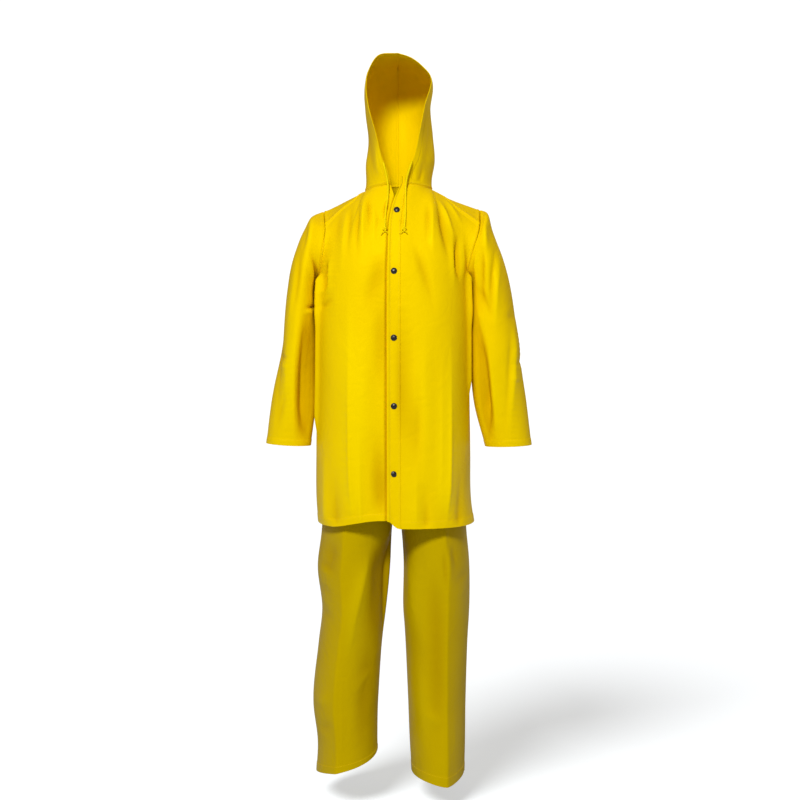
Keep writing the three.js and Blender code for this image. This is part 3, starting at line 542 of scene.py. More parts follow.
# %% Trouser sizes and surface
WAIST_Z, TROUSER_HEM_Z, CROTCH_Z, CENTRE_X = -432, -1447, -705, -5
WAISTBAND_HEIGHT = 42
CREASE_AT, CREASE_HEIGHT, CREASE_WIDTH, CREASE_TIP = 0.4, 13, 0.1, 1e-4
CREASE_TOP_Z, CREASE_FADE, HEM_DIP_WIDTH = -600, 200, 0.2
HEM_SLANT = {"right": (57, 0), "left": (3, 9)}
HEM_SETTLE = 12
TROUSERS = {
    "right": table(
        "z out_x in_x in_front in_back front back",
        (-1450, -204, -52, 0, 0, 96, 88), (-1372, -201, -52, 0, 0, 94, 88),
        (-1270, -212, -50, 0, 0, 95, 88), (-1118, -198, -40, 0, 0, 98, 92),
        (-1035, -189, -30, 0, 0, 102, 98), (-929, -200, -20, 0, 0, 108, 106),
        (-841, -190, -16, 0, 0, 114, 116), (-705, -182, -5, 0, 0, 120, 126),
        (-640, -178, -5, 84, 104, 122, 128),
        (-560, -172, -5, 112, 122, 120, 126), (-432, -160, -5, 112, 112, 112, 112)),
    "left": table(
        "z out_x in_x in_front in_back front back",
        (-1450, 166, 35, 0, 0, 104, 84), (-1372, 168, 30, 0, 0, 100, 84), (-1270, 169, 26, 0, 0, 98, 86),
        (-1118, 173, 19, 0, 0, 100, 90), (-1017, 178, 14, 0, 0, 104, 96), (-916, 177, 14, 0, 0, 110, 104),
        (-841, 170, 9, 0, 0, 114, 114), (-705, 160, -5, 0, 0, 120, 126), (-640, 157, -5, 84, 104, 122, 128),
        (-560, 154, -5, 112, 122, 120, 126), (-432, 150, -5, 112, 112, 112, 112)),
}

def trouser_surface(side, face):
    """One half of a leg: x goes with cos(pi u), y with sin(pi u), and a crease runs down it."""
    rows, (rise, dip) = TROUSERS[side], HEM_SLANT[side]

    def surface(u, v):
        """u runs from the outer seam to the inseam as a half turn, v from hem to waist."""
        u, v = np.broadcast_arrays(np.asarray(u, float), np.asarray(v, float))
        z = mix(TROUSER_HEM_Z, WAIST_Z, v)
        get = lambda key: column(rows, "z", key, z)
        inner = np.where(z < CROTCH_Z, 0, get("in_" + face))
        wave = np.sin(u * math.pi)
        tent = np.exp(-np.sqrt((u - CREASE_AT) ** 2 + CREASE_TIP) / CREASE_WIDTH)
        crease = CREASE_HEIGHT * tent * ease((CREASE_TOP_Z - z) / CREASE_FADE)
        y = np.where(u > 0.5, mix(inner, get(face), wave), get(face) * wave) + crease
        x = mix(get("out_x"), get("in_x"), (1 - np.cos(u * math.pi)) / 2)
        slant = rise * u - dip * np.exp(-((u - CREASE_AT) / HEM_DIP_WIDTH) ** 2)
        return stack(x, -y if face == "front" else y, z + slant * (1 - v) ** HEM_SETTLE)
    return surface

def waist_ring(turn, v):
    """The waistband stands on the trousers' top edge: right front, left front, left back, right back."""
    at = (turn - np.floor(turn)) * 4
    index = np.minimum(np.floor(at), 3)
    share = np.where(index % 2 > 0, 1 - (at - index), at - index)
    quarters = [("right", "front"), ("left", "front"), ("left", "back"), ("right", "back")]
    rings = [trouser_surface(side, face)(share, np.ones_like(share)) for side, face in quarters]
    point = sum(ring * (index == k)[..., None] for k, ring in enumerate(rings))
    return stack(point[..., 0], point[..., 1], WAIST_Z + v * WAISTBAND_HEIGHT)

print("sleeve, cuff front, mm:", np.round(sleeve_surface("right")(0.25, 1.0), 1))

# %% [markdown]
# ## Folds
# Coated cloth is stiff, so it shows long pressed creases from its packing and a few soft pulls and troughs.
# Each fold is one row: a bowed line between two points of the front view, its width, and its depth, above
# zero for a ridge and below it for a trough. Painting folds as bump alone would leave the outline smooth,
# so they move the surface itself.

# %% Relief of folds
SHARP_ROUNDING, SHARP_SLOPE = 0.1, 1.6
CRUMPLE_WAVES, CRUMPLE_PITCHES, CRUMPLE_FLATNESS = 18, (38, 260), 900

def fold_relief(folds, x, z):
    """For each row: depth times a bell across the line, swelling to its peak share along the line.
    Skew makes one side steeper, and sharp turns the bell into a pressed tent with a rounded tip."""
    total = np.zeros(np.shape(x))
    for x0, z0, x1, z1, bow, width, depth, peak, skew, sharp in folds:
        length = math.hypot(x1 - x0, z1 - z0)
        dx, dz = (x1 - x0) / length, (z1 - z0) / length
        along = ((x - x0) * dx + (z - z0) * dz) / length
        t = np.clip(along, 0, 1)
        off = (x - x0) * dz - (z - z0) * dx - bow * 4 * t * (1 - t)
        wide = width * (1 + skew * np.tanh(off / width))
        far = np.hypot(off / wide, (along - t) * length / width)
        tent = np.exp(-(np.hypot(far, SHARP_ROUNDING) - SHARP_ROUNDING) * SHARP_SLOPE)
        bell = mix(np.exp(-far ** 2), tent, sharp)
        swell = np.where(t < peak, ease(t / max(peak, 1e-6)), ease((1 - t) / max(1 - peak, 1e-6)))
        total += depth * bell * swell
    return total

def crumple(points, seed, size=1.0):
    """Slight unevenness: a sum of soft waves in random directions, each shorter one lower."""
    rng = np.random.default_rng(seed)
    total = np.zeros(points.shape[:-1])
    for _ in range(CRUMPLE_WAVES):
        length = rng.uniform(*CRUMPLE_PITCHES)
        way = unit(rng.normal(size=3) * (1.0, 1.0, 0.55)) * 2 * math.pi / length
        total += size * length / CRUMPLE_FLATNESS * np.sin(points @ way + rng.uniform(0, 2 * math.pi))
    return total

def front_share(y):
    """1 on the wearer's front, 0 behind, with a soft change at the sides."""
    return ease((12 - y) / 24)

# %% [markdown]
# ### Fold tables
# Lengths are millimetres in the front view (x to the wearer's left, z up). The jacket has a pressed crease
# down each half, soft columns beside the fly, pulls from the neck to the armholes and deep folds at the
# armpits. The back has similar folds, a little softer.

# %% Jacket folds
# Columns of every fold table: x0 z0 x1 z1 bow width depth peak skew sharp
JACKET_FRONT_FOLDS = [
    # pressed creases down each half
    (-116, -170, -107, -822, 3, 32, 13.0, 0.8, 0.0, 1.0),
    (-115, -330, -107, -822, 3, 3, 1.4, 0.6, 0.0, 0.0),
    (-92, -520, -88, -822, 0, 10, 4.2, 0.85, 0.0, 1.0),
    (126, -270, 116, -822, -2, 28, 12.0, 0.8, 0.1, 1.0),
    (124, -400, 116, -822, -1, 3, 1.5, 0.6, 0.0, 0.0),
    (104, -300, 101, -822, 0, 16, 2.8, 0.6, 0.0, 0.8),
    # soft columns beside the fly
    (23, -220, 24, -690, 5, 15, -10.0, 0.6, 0.2, 0.3),
    (48, -430, 44, -700, -3, 18, -6.5, 0.5, 0.0, 0.2),
    (66, -280, 64, -760, 4, 20, 5.0, 0.5, 0.0, 0.3),
    (44, -600, 42, -822, 0, 12, 3.0, 0.8, 0.0, 0.5),
    (-50, -540, -34, -800, 4, 20, -6.5, 0.7, 0.0, 0.1),
    (-74, -300, -84, -700, 6, 26, 4.2, 0.5, 0.0, 0.1),
    (-38, -250, -52, -520, -4, 20, -4.0, 0.45, 0.0, 0.1),
    (-30, -140, -92, -330, -6, 20, -4.0, 0.35, 0.0, 0.2),
    # yoke: pulls from the left neck point to the armhole, and below the right neck point
    (92, -16, 138, -150, -7, 6, 5.8, 0.35, 0.1, 0.6),
    (100, -24, 126, -190, 4, 8, -6.4, 0.4, 0.0, 0.4),
    (106, -14, 162, -104, -4, 6, 4.2, 0.35, 0.0, 0.5),
    (84, -24, 86, -180, 3, 7, 4.0, 0.35, 0.0, 0.4),
    (74, -30, 70, -150, 2, 7, -4.0, 0.35, 0.0, 0.4),
    (30, -120, 92, -330, -6, 14, -4.6, 0.4, 0.0, 0.4),
    (-73, -10, -68, -128, -3, 6, -6.0, 0.35, 0.0, 0.5),
    (-91, -24, -96, -190, 4, 7, -6.0, 0.4, 0.1, 0.5),
    (-81, -18, -84, -160, 2, 6, 5.0, 0.35, 0.0, 0.5),
    (-62, -20, -58, -150, -3, 7, 3.8, 0.35, 0.0, 0.4),
    (-112, -34, -120, -180, 3, 7, -4.4, 0.4, 0.0, 0.4),
    (-124, -34, -136, -220, 0, 9, 4.0, 0.4, 0.0, 0.4),
    (-140, -50, -150, -170, 3, 9, -2.4, 0.4, 0.0, 0.3),
    # armpits
    (144, -108, 149, -230, 3, 7, -17.0, 0.6, 0.2, 0.6),
    (157, -96, 160, -240, 2, 8, 5.0, 0.5, 0.0, 0.4),
    (130, -90, 136, -260, 2, 8, 5.0, 0.5, 0.0, 0.4),
    (-171, -170, -178, -262, 2, 6, -11.0, 0.5, 0.0, 0.5),
    (-160, -150, -166, -262, 2, 7, 4.0, 0.5, 0.0, 0.4),
    (-198, -292, -150, -262, 3, 6, -3.6, 0.35, 0.0, 0.4),
    (-194, -256, -148, -234, 2, 6, 3.0, 0.35, 0.0, 0.3),
    # neck: pulls beside the cords
    (-22, -18, -33, -92, 2, 5, -8.0, 0.45, 0.0, 0.5),
    (-42, -62, -50, -104, 0, 4, -2.4, 0.5, 0.0, 0.4),
    (7, -72, 12, -108, 0, 3.5, -2.6, 0.5, 0.0, 0.4),
    # hem and snaps
    (-26, -700, -20, -810, 0, 8, 3.2, 0.6, 0.0, 0.4),
    (66, -690, 68, -818, 0, 12, -4.0, 0.85, 0.0, 0.2),
    (-152, -640, -150, -818, 0, 14, -4.5, 0.85, 0.0, 0.2),
    (-176, -600, -176, -818, 0, 9, 4.0, 0.85, 0.0, 0.3),
    (150, -640, 146, -818, 0, 10, -4.0, 0.85, 0.0, 0.2),
]
JACKET_BACK_FOLDS = [
    (-108, -170, -112, -822, 5, 30, 13.0, 0.75, 0.0, 1.0),
    (104, -200, 106, -822, -4, 30, 12.0, 0.7, 0.0, 1.0),
    (-110, -330, -112, -822, 3, 3, 1.3, 0.6, 0.0, 0.0),
    (105, -360, 106, -822, -2, 3, 1.3, 0.6, 0.0, 0.0),
    (-4, -60, 6, -800, 6, 30, -11.0, 0.45, 0.0, 0.2),
    (-54, -180, -44, -780, -8, 17, 7.4, 0.6, 0.0, 0.5),
    (52, -260, 42, -790, 6, 16, 7.6, 0.5, 0.0, 0.5),
    (-78, -420, -70, -800, 4, 14, -5.4, 0.6, 0.1, 0.3),
    (74, -330, 82, -720, -5, 15, -6.0, 0.5, 0.0, 0.3),
    (-30, 4, -96, -230, -8, 9, -7.4, 0.35, 0.1, 0.5),
    (34, 6, 104, -200, 8, 9, -6.8, 0.35, 0.1, 0.5),
    (-8, 8, -16, -240, 3, 9, 4.6, 0.3, 0.0, 0.5),
    (18, 8, 30, -190, -3, 8, 4.0, 0.3, 0.0, 0.5),
    (-52, 4, -130, -160, -6, 8, 6.2, 0.3, 0.0, 0.5),
    (58, 6, 144, -140, 6, 8, 5.8, 0.3, 0.0, 0.5),
    (-72, -6, -150, -112, -3, 7, -4.2, 0.3, 0.0, 0.4),
    (-132, -80, -148, -240, 3, 7, -14.0, 0.6, 0.0, 0.5),
    (138, -86, 142, -250, -3, 7, -14.0, 0.6, 0.0, 0.5),
    (-120, -60, -134, -260, 3, 9, 6.0, 0.6, 0.0, 0.5),
    (126, -70, 128, -260, -3, 9, 6.0, 0.6, 0.0, 0.5),
    (-120, -396, 60, -438, 14, 11, -5.2, 0.4, 0.0, 0.5),
    (-104, -426, 40, -462, 12, 10, 3.6, 0.4, 0.0, 0.4),
    (-40, -560, 122, -520, -14, 11, 5.0, 0.6, 0.0, 0.5),
    (-20, -586, 116, -552, -10, 10, -3.8, 0.6, 0.0, 0.4),
    (150, -560, 146, -818, 0, 12, -5.4, 0.85, 0.0, 0.3),
    (-156, -600, -150, -818, 0, 11, -5.0, 0.85, 0.0, 0.3),
    (-20, -640, -26, -818, 0, 11, 4.4, 0.85, 0.0, 0.4),
]
# Before and behind each arm the side swells out: side, y, top z, lower z, width and depth
SIDE_FOLDS = [(-1, -54, -200, -610, 13, 8.5), (1, -50, -194, -520, 12, 8.5), (-1, -58, -200, -350, 12, 5.0),
              (1, -54, -194, -350, 12, 5.0), (-1, 58, -200, -548, 13, 8.0), (1, 56, -196, -478, 13, 8.0)]
SWELL_START, SWELL_END, SWELL_BEYOND = 24, 62, 120

# %% Sleeve folds
SLEEVE_FOLDS = {
    "left": {
        "front": [
            (240, -120, 223, -330, 5, 8, -6.0, 0.5, 0.2, 0.6),
            (250, -130, 236, -360, 5, 9, 4.0, 0.5, 0.0, 0.5),
            (282, -290, 270, -624, -4, 22, 9.0, 0.35, 0.0, 1.0),
            (272, -310, 258, -624, -4, 8, -4.4, 0.35, 0.0, 0.5),
            (262, -300, 288, -322, 0, 9, -2.6, 0.5, 0.0, 0.3),
            (268, -428, 308, -418, 0, 10, -3.0, 0.8, 0.0, 0.3),
            (262, -450, 302, -464, 2, 11, 2.0, 0.6, 0.0, 0.3),
            (203, -300, 242, -632, -5, 14, 8.0, 0.6, -0.1, 0.9),
            (188, -280, 222, -636, -5, 13, -18.0, 0.65, 0.0, 0.1),
            (190, -140, 194, -260, 3, 7, 7.0, 0.35, 0.1, 0.4),
            (206, -130, 203, -310, 3, 8, -6.5, 0.35, 0.0, 0.5),
            (190, -235, 226, -330, -5, 8, -4.4, 0.3, 0.0, 0.4),
            (186, -260, 216, -440, -4, 11, 4.4, 0.3, 0.0, 0.4),
            (214, -60, 238, -170, 3, 8, -1.8, 0.35, 0.0, 0.4),
            (208, -70, 216, -170, 2, 6, 3.4, 0.35, 0.0, 0.4),
            (202, -460, 238, -580, 4, 10, -3.8, 0.5, 0.0, 0.4)],
        "back": [
            (250, -140, 262, -616, 8, 16, -7.0, 0.45, 0.2, 0.6),
            (232, -220, 244, -610, -4, 15, 6.0, 0.5, 0.0, 0.7),
            (200, -200, 300, -400, 10, 12, -4.4, 0.45, 0.0, 0.4),
            (210, -390, 302, -424, -8, 10, -7.0, 0.6, 0.0, 0.5),
            (206, -430, 296, -452, 8, 9, 5.0, 0.5, 0.0, 0.5),
            (208, -352, 296, -372, 8, 9, 3.6, 0.5, 0.0, 0.4),
            (196, -130, 206, -270, 3, 8, -6.0, 0.4, 0.0, 0.4)]},
    "right": {
        "front": [
            (-238, -120, -262, -340, -6, 10, -5.0, 0.45, 0.1, 0.5),
            (-246, -130, -276, -380, -6, 12, 4.0, 0.5, 0.0, 0.5),
            (-266, -300, -280, -612, -3, 16, 3.4, 0.45, 0.0, 0.6),
            (-284, -250, -300, -600, -4, 9, -3.4, 0.5, 0.0, 0.5),
            (-204, -168, -196, -244, -3, 6, -15.0, 0.6, 0.2, 0.6),
            (-213, -156, -206, -256, -3, 6, 6.5, 0.5, 0.0, 0.5),
            (-226, -288, -194, -280, 3, 5, -8.0, 0.7, 0.0, 0.6),
            (-230, -300, -194, -304, -3, 7, 5.0, 0.6, 0.0, 0.4),
            (-294, -402, -258, -412, 2, 9, -3.0, 0.3, 0.0, 0.3),
            (-292, -426, -256, -440, -3, 11, 2.0, 0.3, 0.0, 0.3),
            (-242, -270, -254, -632, 2, 16, 8.0, 0.6, 0.1, 0.8),
            (-216, -262, -229, -636, 2, 16, -25.0, 0.65, 0.0, 0.1),
            (-238, -330, -250, -612, 3, 10, -4.0, 0.5, 0.0, 0.4),
            (-206, -56, -228, -170, -3, 8, 3.6, 0.35, 0.0, 0.4),
            (-218, -64, -242, -190, -4, 8, -3.4, 0.35, 0.0, 0.4),
            (-262, -470, -300, -604, 4, 10, -3.4, 0.5, 0.0, 0.4)],
        "back": [
            (-244, -140, -264, -606, -8, 16, -7.0, 0.5, 0.2, 0.6),
            (-226, -230, -240, -600, 4, 15, 6.0, 0.5, 0.0, 0.7),
            (-206, -210, -292, -410, -9, 12, -4.2, 0.45, 0.0, 0.4),
            (-290, -408, -210, -392, 8, 10, -6.6, 0.4, 0.0, 0.5),
            (-286, -432, -214, -440, -8, 9, 5.0, 0.5, 0.0, 0.5),
            (-288, -350, -214, -362, -8, 9, 3.4, 0.5, 0.0, 0.4),
            (-204, -140, -212, -270, -3, 8, -6.0, 0.4, 0.0, 0.4)]},
}

# %% Hood and trouser folds
HOOD_FOLDS = {
    "left": [
        (60, 20, 74, 200, 7, 15, -2.4, 0.4, 0.0, 0.3),
        (40, 20, 62, 130, 5, 9, 2.0, 0.35, 0.0, 0.3),
        (78, 8, 84, 150, 4, 13, 1.8, 0.4, 0.0, 0.3),
        (52, 10, 60, 66, 2, 4, -3.0, 0.25, 0.0, 0.4),
        (44, 12, 40, 54, 0, 3.5, 2.0, 0.25, 0.0, 0.3),
        (76, 250, 20, 304, -6, 14, -3.4, 0.4, 0.0, 0.4)],
    "right": [
        (-58, 14, -70, 190, -6, 12, -4.4, 0.4, 0.0, 0.4),
        (-76, 8, -80, 150, -4, 11, 3.6, 0.4, 0.0, 0.4),
        (-40, 16, -52, 116, -4, 8, 3.0, 0.35, 0.0, 0.4),
        (-74, 220, -50, 300, 5, 12, -3.2, 0.4, 0.0, 0.4)],
}
TROUSER_FOLDS = {
    "right": {
        "front": [
            (-58, -850, -126, -1175, 7, 26, 13.0, 0.4, -0.2, 0.8),
            (-20, -826, -50, -1140, 2, 34, -19.0, 0.35, 0.0, 0.1),
            (-66, -1060, -84, -1420, 4, 24, -6.0, 0.4, 0.0, 0.1),
            (-150, -836, -172, -970, 4, 20, -5.0, 0.4, 0.0, 0.3),
            (-196, -903, -148, -930, 3, 9, -2.2, 0.35, 0.0, 0.4),
            (-200, -930, -148, -950, -3, 9, 1.7, 0.35, 0.0, 0.4),
            (-196, -966, -154, -985, 3, 9, -2.0, 0.35, 0.0, 0.4),
            (-192, -998, -156, -1018, 2, 8, 1.4, 0.35, 0.0, 0.4),
            (-190, -1028, -148, -1048, 3, 9, -1.7, 0.35, 0.0, 0.4),
            (-206, -1270, -168, -1215, 5, 14, 4.0, 0.35, 0.0, 0.3),
            (-196, -1330, -160, -1290, 4, 12, -2.6, 0.35, 0.0, 0.3),
            (-60, -1170, -104, -1236, 3, 14, 3.0, 0.4, 0.0, 0.3),
            (-139, -1100, -137, -1440, 0, 3, 0.8, 0.6, 0.0, 0.0)],
        "back": [
            (-40, -760, -120, -1010, -12, 24, -11.0, 0.35, 0.1, 0.4),
            (-26, -820, -92, -910, -6, 13, 6.0, 0.4, 0.0, 0.4),
            (-190, -980, -70, -1060, 10, 14, -7.0, 0.45, 0.0, 0.5),
            (-188, -1020, -80, -1090, 8, 11, 5.0, 0.45, 0.0, 0.5),
            (-180, -1060, -90, -1110, 6, 11, -4.6, 0.45, 0.0, 0.4),
            (-176, -1096, -96, -1140, 6, 10, 3.0, 0.45, 0.0, 0.4),
            (-150, -1130, -120, -1420, 5, 20, -4.4, 0.5, 0.0, 0.2)]},
    "left": {
        "front": [
            (24, -850, 62, -1140, 8, 26, 9.0, 0.35, 0.0, 0.4),
            (14, -836, 26, -1060, 3, 18, -6.5, 0.4, 0.0, 0.2),
            (84, -860, 92, -1420, -5, 24, -7.0, 0.5, 0.0, 0.2),
            (112, -862, 122, -990, 2, 6, -4.2, 0.4, 0.0, 0.4),
            (130, -852, 152, -940, 3, 9, -2.2, 0.4, 0.0, 0.4),
            (124, -852, 132, -970, 2, 7, 2.0, 0.4, 0.0, 0.4),
            (172, -928, 132, -958, -3, 9, -2.0, 0.35, 0.0, 0.4),
            (170, -968, 136, -990, -3, 9, 1.3, 0.35, 0.0, 0.4),
            (58, -1270, 116, -1300, 6, 16, 3.0, 0.5, 0.0, 0.3),
            (46, -1120, 66, -1420, -3, 18, 3.4, 0.5, 0.0, 0.2)],
        "back": [
            (30, -760, 110, -1000, 12, 24, -11.0, 0.35, 0.1, 0.4),
            (20, -820, 82, -910, 6, 13, 6.0, 0.4, 0.0, 0.4),
            (172, -970, 60, -1050, -10, 14, -7.0, 0.45, 0.0, 0.5),
            (170, -1010, 66, -1084, -8, 11, 5.0, 0.45, 0.0, 0.5),
            (168, -1052, 76, -1102, -6, 11, -4.6, 0.45, 0.0, 0.4),
            (164, -1090, 84, -1130, -6, 10, 2.8, 0.45, 0.0, 0.4),
            (140, -1130, 112, -1420, -5, 20, -4.4, 0.5, 0.0, 0.2)]},
}
# Fine ripples along stitched or pressed strips: centre x, z, spreads, pitch, lean and height
RIPPLES = {
    "jacket": [(-160, -250, 34, 150, 13.0, 0.05, 0.5), (-118, -620, 14, 150, 21.0, -0.1, 0.35),
               (128, -700, 14, 120, 18.0, 0.1, 0.4), (-8, -540, 14, 40, 11.0, 0.2, 0.5),
               (-4, -684, 20, 16, 12.0, 0.7, 0.9), (8, -330, 10, 120, 26.0, 0.2, 0.4)],
    "sleeve_left": [(285, -520, 14, 120, 14.0, 0.1, 0.5), (300, -380, 12, 70, 12.0, 0.3, 0.5)],
    "sleeve_right": [(-270, -470, 16, 120, 15.0, -0.1, 0.4)],
    "trouser_right": [(-176, -985, 22, 100, 15.0, 0.25, 0.7), (-142, -1240, 8, 170, 11.0, 0.0, 0.4)],
    "trouser_left": [(118, -960, 8, 90, 12.0, 0.0, 0.8), (118, -1200, 7, 200, 14.0, 0.0, 0.45)],
}

def ripple_relief(rows, x, z):
    """Short waves inside a soft oval: height cos(2 pi (z + lean x) / pitch) under a bell in x and z."""
    total = np.zeros(np.shape(x))
    for x0, z0, wide, tall, pitch, lean, height in rows:
        bell = np.exp(-((x - x0) / wide) ** 2 - ((z - z0) / tall) ** 2)
        total += height * bell * np.cos((z + lean * x) * 2 * math.pi / pitch)
    return total

# %% [markdown]
# ## From a surface to cloth
# A cloth wall is an outer grid on the folded surface, an inner grid one wall below it and a rounded rim.
# The grid is closer near hems and edges, where the cloth is turned over and stitched.

# %% Skins
STEP = 0.002
HALF_GAP = 0.15
RIM_BULGE = 0.4
SEAM_LAP = 0.2

def skin(surface, relief, flip=False, wrap=False, lift=0.0, inside=0.0, first=0.0, last=1.0, keep=None):
    """A function of (u, v) for the outer cloth: its point, its outward normal and its relief."""
    def at(u, v):
        u, v = np.broadcast_arrays(np.asarray(u, float), np.asarray(v, float))
        margin = STEP + inside
        cu = u if wrap else np.clip(u, first + margin, last - margin)
        cv = np.clip(v, margin, 1 - margin)
        across = surface(cu + STEP, cv) - surface(cu - STEP, cv)
        up = surface(cu, cv + STEP) - surface(cu, cv - STEP)
        normal = unit(np.cross(across, up)) * (-1 if flip else 1)
        point = surface(u, v)
        raised = relief(point, u, v)
        outer = point + normal * (lift + raised)[..., None]
        return (keep(outer) if keep else outer), normal, raised
    at.flip, at.wrap, at.keep = flip, wrap, keep
    return at

# %% Cloth walls
def wall_faces(rows, columns, wrap):
    """Quads of the outer grid, the inner grid and the rims between them, with the rim points stored last."""
    count = rows * columns
    outer = grid_quads(rows, columns, wrap=wrap)
    faces = [outer, outer[:, ::-1] + count]
    grid = np.arange(count).reshape(rows, columns)
    if wrap:
        loops = [grid[0], grid[-1][::-1]]
    else:
        loops = [np.concatenate([grid[0], grid[1:, -1], grid[-1, -2::-1], grid[-2:0:-1, 0]])]
    first, edges = 2 * count, []
    for loop in loops:
        rim, ahead = first + np.arange(len(loop)), np.roll(loop, -1)
        rim_ahead = np.roll(rim, -1)
        faces += [np.stack([ahead, loop, rim, rim_ahead], -1),
                  np.stack([rim_ahead, rim, loop + count, ahead + count], -1)]
        edges.append(loop)
        first += len(loop)
    return np.concatenate(faces), np.concatenate(edges)

def cut_map(point, wrap):
    """The flat pattern in metres: distance across from the middle column, and up from the lowest row."""
    across = np.linalg.norm(np.diff(point, axis=1, append=point[:, :1]), axis=-1)
    up = np.linalg.norm(np.diff(point, axis=0), axis=-1)
    u = np.cumsum(across, axis=1) - across
    v = np.concatenate([np.zeros((1, point.shape[1])), np.cumsum(up, axis=0)])
    whole = np.broadcast_to(across.sum(axis=1, keepdims=True), u.shape)
    middle = 0 if wrap else u[:, point.shape[1] // 2, None]
    return np.stack([u - middle, v], -1) * MM, whole * MM

def cloth_wall(name, at, us, vs, seams=""):
    """One closed wall of cloth; seams names the edges that stop half a gap before their neighbour."""
    u, v = np.meshgrid(us, vs)
    outer, normal, raised = at(u, v)
    uv, whole = cut_map(outer, at.wrap)
    tiles = np.cross(np.diff(outer[:-1], axis=1), np.diff(outer[:, :-1], axis=0))
    area = np.linalg.norm(tiles, axis=-1).sum()
    ends = {"bottom": (0, 1, 0), "top": (-1, -2, 0), "start": (0, 1, 1), "end": (-1, -2, 1)}
    push = np.zeros_like(outer)
    for edge, (here, beside, axis) in ends.items():
        if at.wrap and axis == 1:
            continue
        take = (lambda k: (slice(None), k)) if axis else (lambda k: (k, slice(None)))
        out = unit(outer[take(here)] - outer[take(beside)])
        push[take(here)] += out
        if edge in seams:
            outer[take(here)] -= out * HALF_GAP
    inner = outer - normal * WALL
    if at.keep:
        outer, inner = at.keep(outer), at.keep(inner)
    faces, edges = wall_faces(len(vs), len(us), at.wrap)
    flat = lambda grid: grid.reshape(-1, grid.shape[-1])
    rim = (flat(outer)[edges] + flat(inner)[edges]) / 2 + unit(flat(push)[edges]) * RIM_BULGE
    points = np.concatenate([flat(outer), flat(inner), at.keep(rim) if at.keep else rim])
    spread = lambda grid: np.concatenate([flat(grid), flat(grid), flat(grid)[edges]])
    piece = new_mesh(name, points, faces[:, ::-1] if at.flip else faces, uv=spread(uv),
                     around=spread(whole[..., None])[:, 0] if at.wrap else None,
                     relief=spread(raised[..., None])[:, 0], sharp_deg=48)
    width = whole.max() if at.wrap else np.ptp(uv[..., 0], axis=1).max()
    size = [width, np.ptp(uv[..., 1], axis=0).max()]
    print(name, "faces", len(faces), "flat m", np.round(size, 3), "area m2", round(float(area) * MM * MM, 4))
    return piece

def rows_between(*stops):
    """Shares from (share, count) stops: each stop adds its count of even steps from the share before."""
    shares = [np.array([stops[0][0]], float)]
    for (before, _), (share, count) in zip(stops, stops[1:]):
        shares.append(np.linspace(before, share, count + 1)[1:])
    return np.concatenate(shares)

# %% [markdown]
# ## Relief of each piece
# Panels that meet at a seam share one relief function of the place, so they still meet when it moves them.
# It fades to nothing at the neck, the armholes and every edge that another piece touches.

# %% Hems, seams and relief of the jacket
HEM_THICK, HEM_GROOVE, FLY_PRESS, FLY_CURL = 0.8, 0.5, 6.0, 3.0
# Lengths that turn a panel's share into millimetres, then the widths of hems, tunnel and fly
JACKET_LENGTH, JACKET_HALF, YOKE_LENGTH, SHOULDER_LENGTH = 960, 290, 605, 230
SLEEVE_LENGTH, HOOD_HALF, HOOD_HEIGHT, TROUSER_LENGTH, LEG_HALF = 530, 320, 330, 1015, 280
JACKET_HEM, SLEEVE_HEM, TROUSER_HEM, HOOD_TUNNEL, FLY_WIDTH = 19, 17, 24, 20, 25
SNAP_AT = {"snap_1": -57, "snap_2": -204, "snap_3": -361, "snap_4": -522, "snap_5": -682}

def hem_band(distance, width):
    """The turned-over strip is a layer thicker up to its width, and its stitches pull a groove in it."""
    return (HEM_THICK * ease((width - distance) / 1.8)
            - HEM_GROOVE * np.exp(-((distance - width + 2.4) / 1.1) ** 2))

def seam_ridge(distance, height=1.0):
    """A seam sinks where the pieces meet, and its turned-in allowance stands as a low ridge beside it."""
    return height * (0.9 * np.exp(-((distance - 5) / 2.6) ** 2) - 1.1 * np.exp(-(distance / 1.6) ** 2))

def side_swell(point):
    """Soft vertical swells before and behind the arms: a bell in y that fades towards both ends in z."""
    x, y, z = np.moveaxis(point, -1, 0)
    total = np.zeros(x.shape)
    for side, at_y, top, low, width, depth in SIDE_FOLDS:
        fade = ease((top - z) / SWELL_START) * ease((z - low) / SWELL_END)
        total += depth * np.exp(-((y - at_y) / width) ** 2) * fade * (x * side > SWELL_BEYOND)
    return total

def jacket_relief(point, u, v):
    """Folds in front and behind that fade at the neck and the side edges, with swells, seams and the hem."""
    x, y, z = np.moveaxis(point, -1, 0)
    front, edge = front_share(y), 1 - np.abs(u)
    total = (fold_relief(JACKET_FRONT_FOLDS, x, z) + ripple_relief(RIPPLES["jacket"], x, z)) * front
    total += fold_relief(JACKET_BACK_FOLDS, x, z) * (1 - front) + crumple(point, 11)
    off_neck = ease((np.hypot(x / 82, y / 84) - 1) * 82 / 10)
    at_neck = ease((NECK_SHARE + 0.02 - np.abs(u)) / 0.04)
    seams = seam_ridge((1 - v) * YOKE_LENGTH) * mix(1.8, 0.4, at_neck)
    seams = seams + seam_ridge(edge * SHOULDER_LENGTH) * ease((v - HEM_SHARE) / 0.02)
    return (total * off_neck * ease(edge / 0.08) + side_swell(point) + seams
            + hem_band(v * JACKET_LENGTH, JACKET_HEM))

def right_front_relief(point, u, v):
    """The right panel dips in a narrow line beside the fly's free edge, where the fly presses on it."""
    height = np.minimum(panel_height(v, 1), 1)
    beside = (column(FLY_EDGE, "height", "outer", height) - underlap(u, height)) * JACKET_HALF
    return jacket_relief(point, u, v) - FLY_PRESS * np.exp(-((beside - 1.6) / 2.8) ** 2)

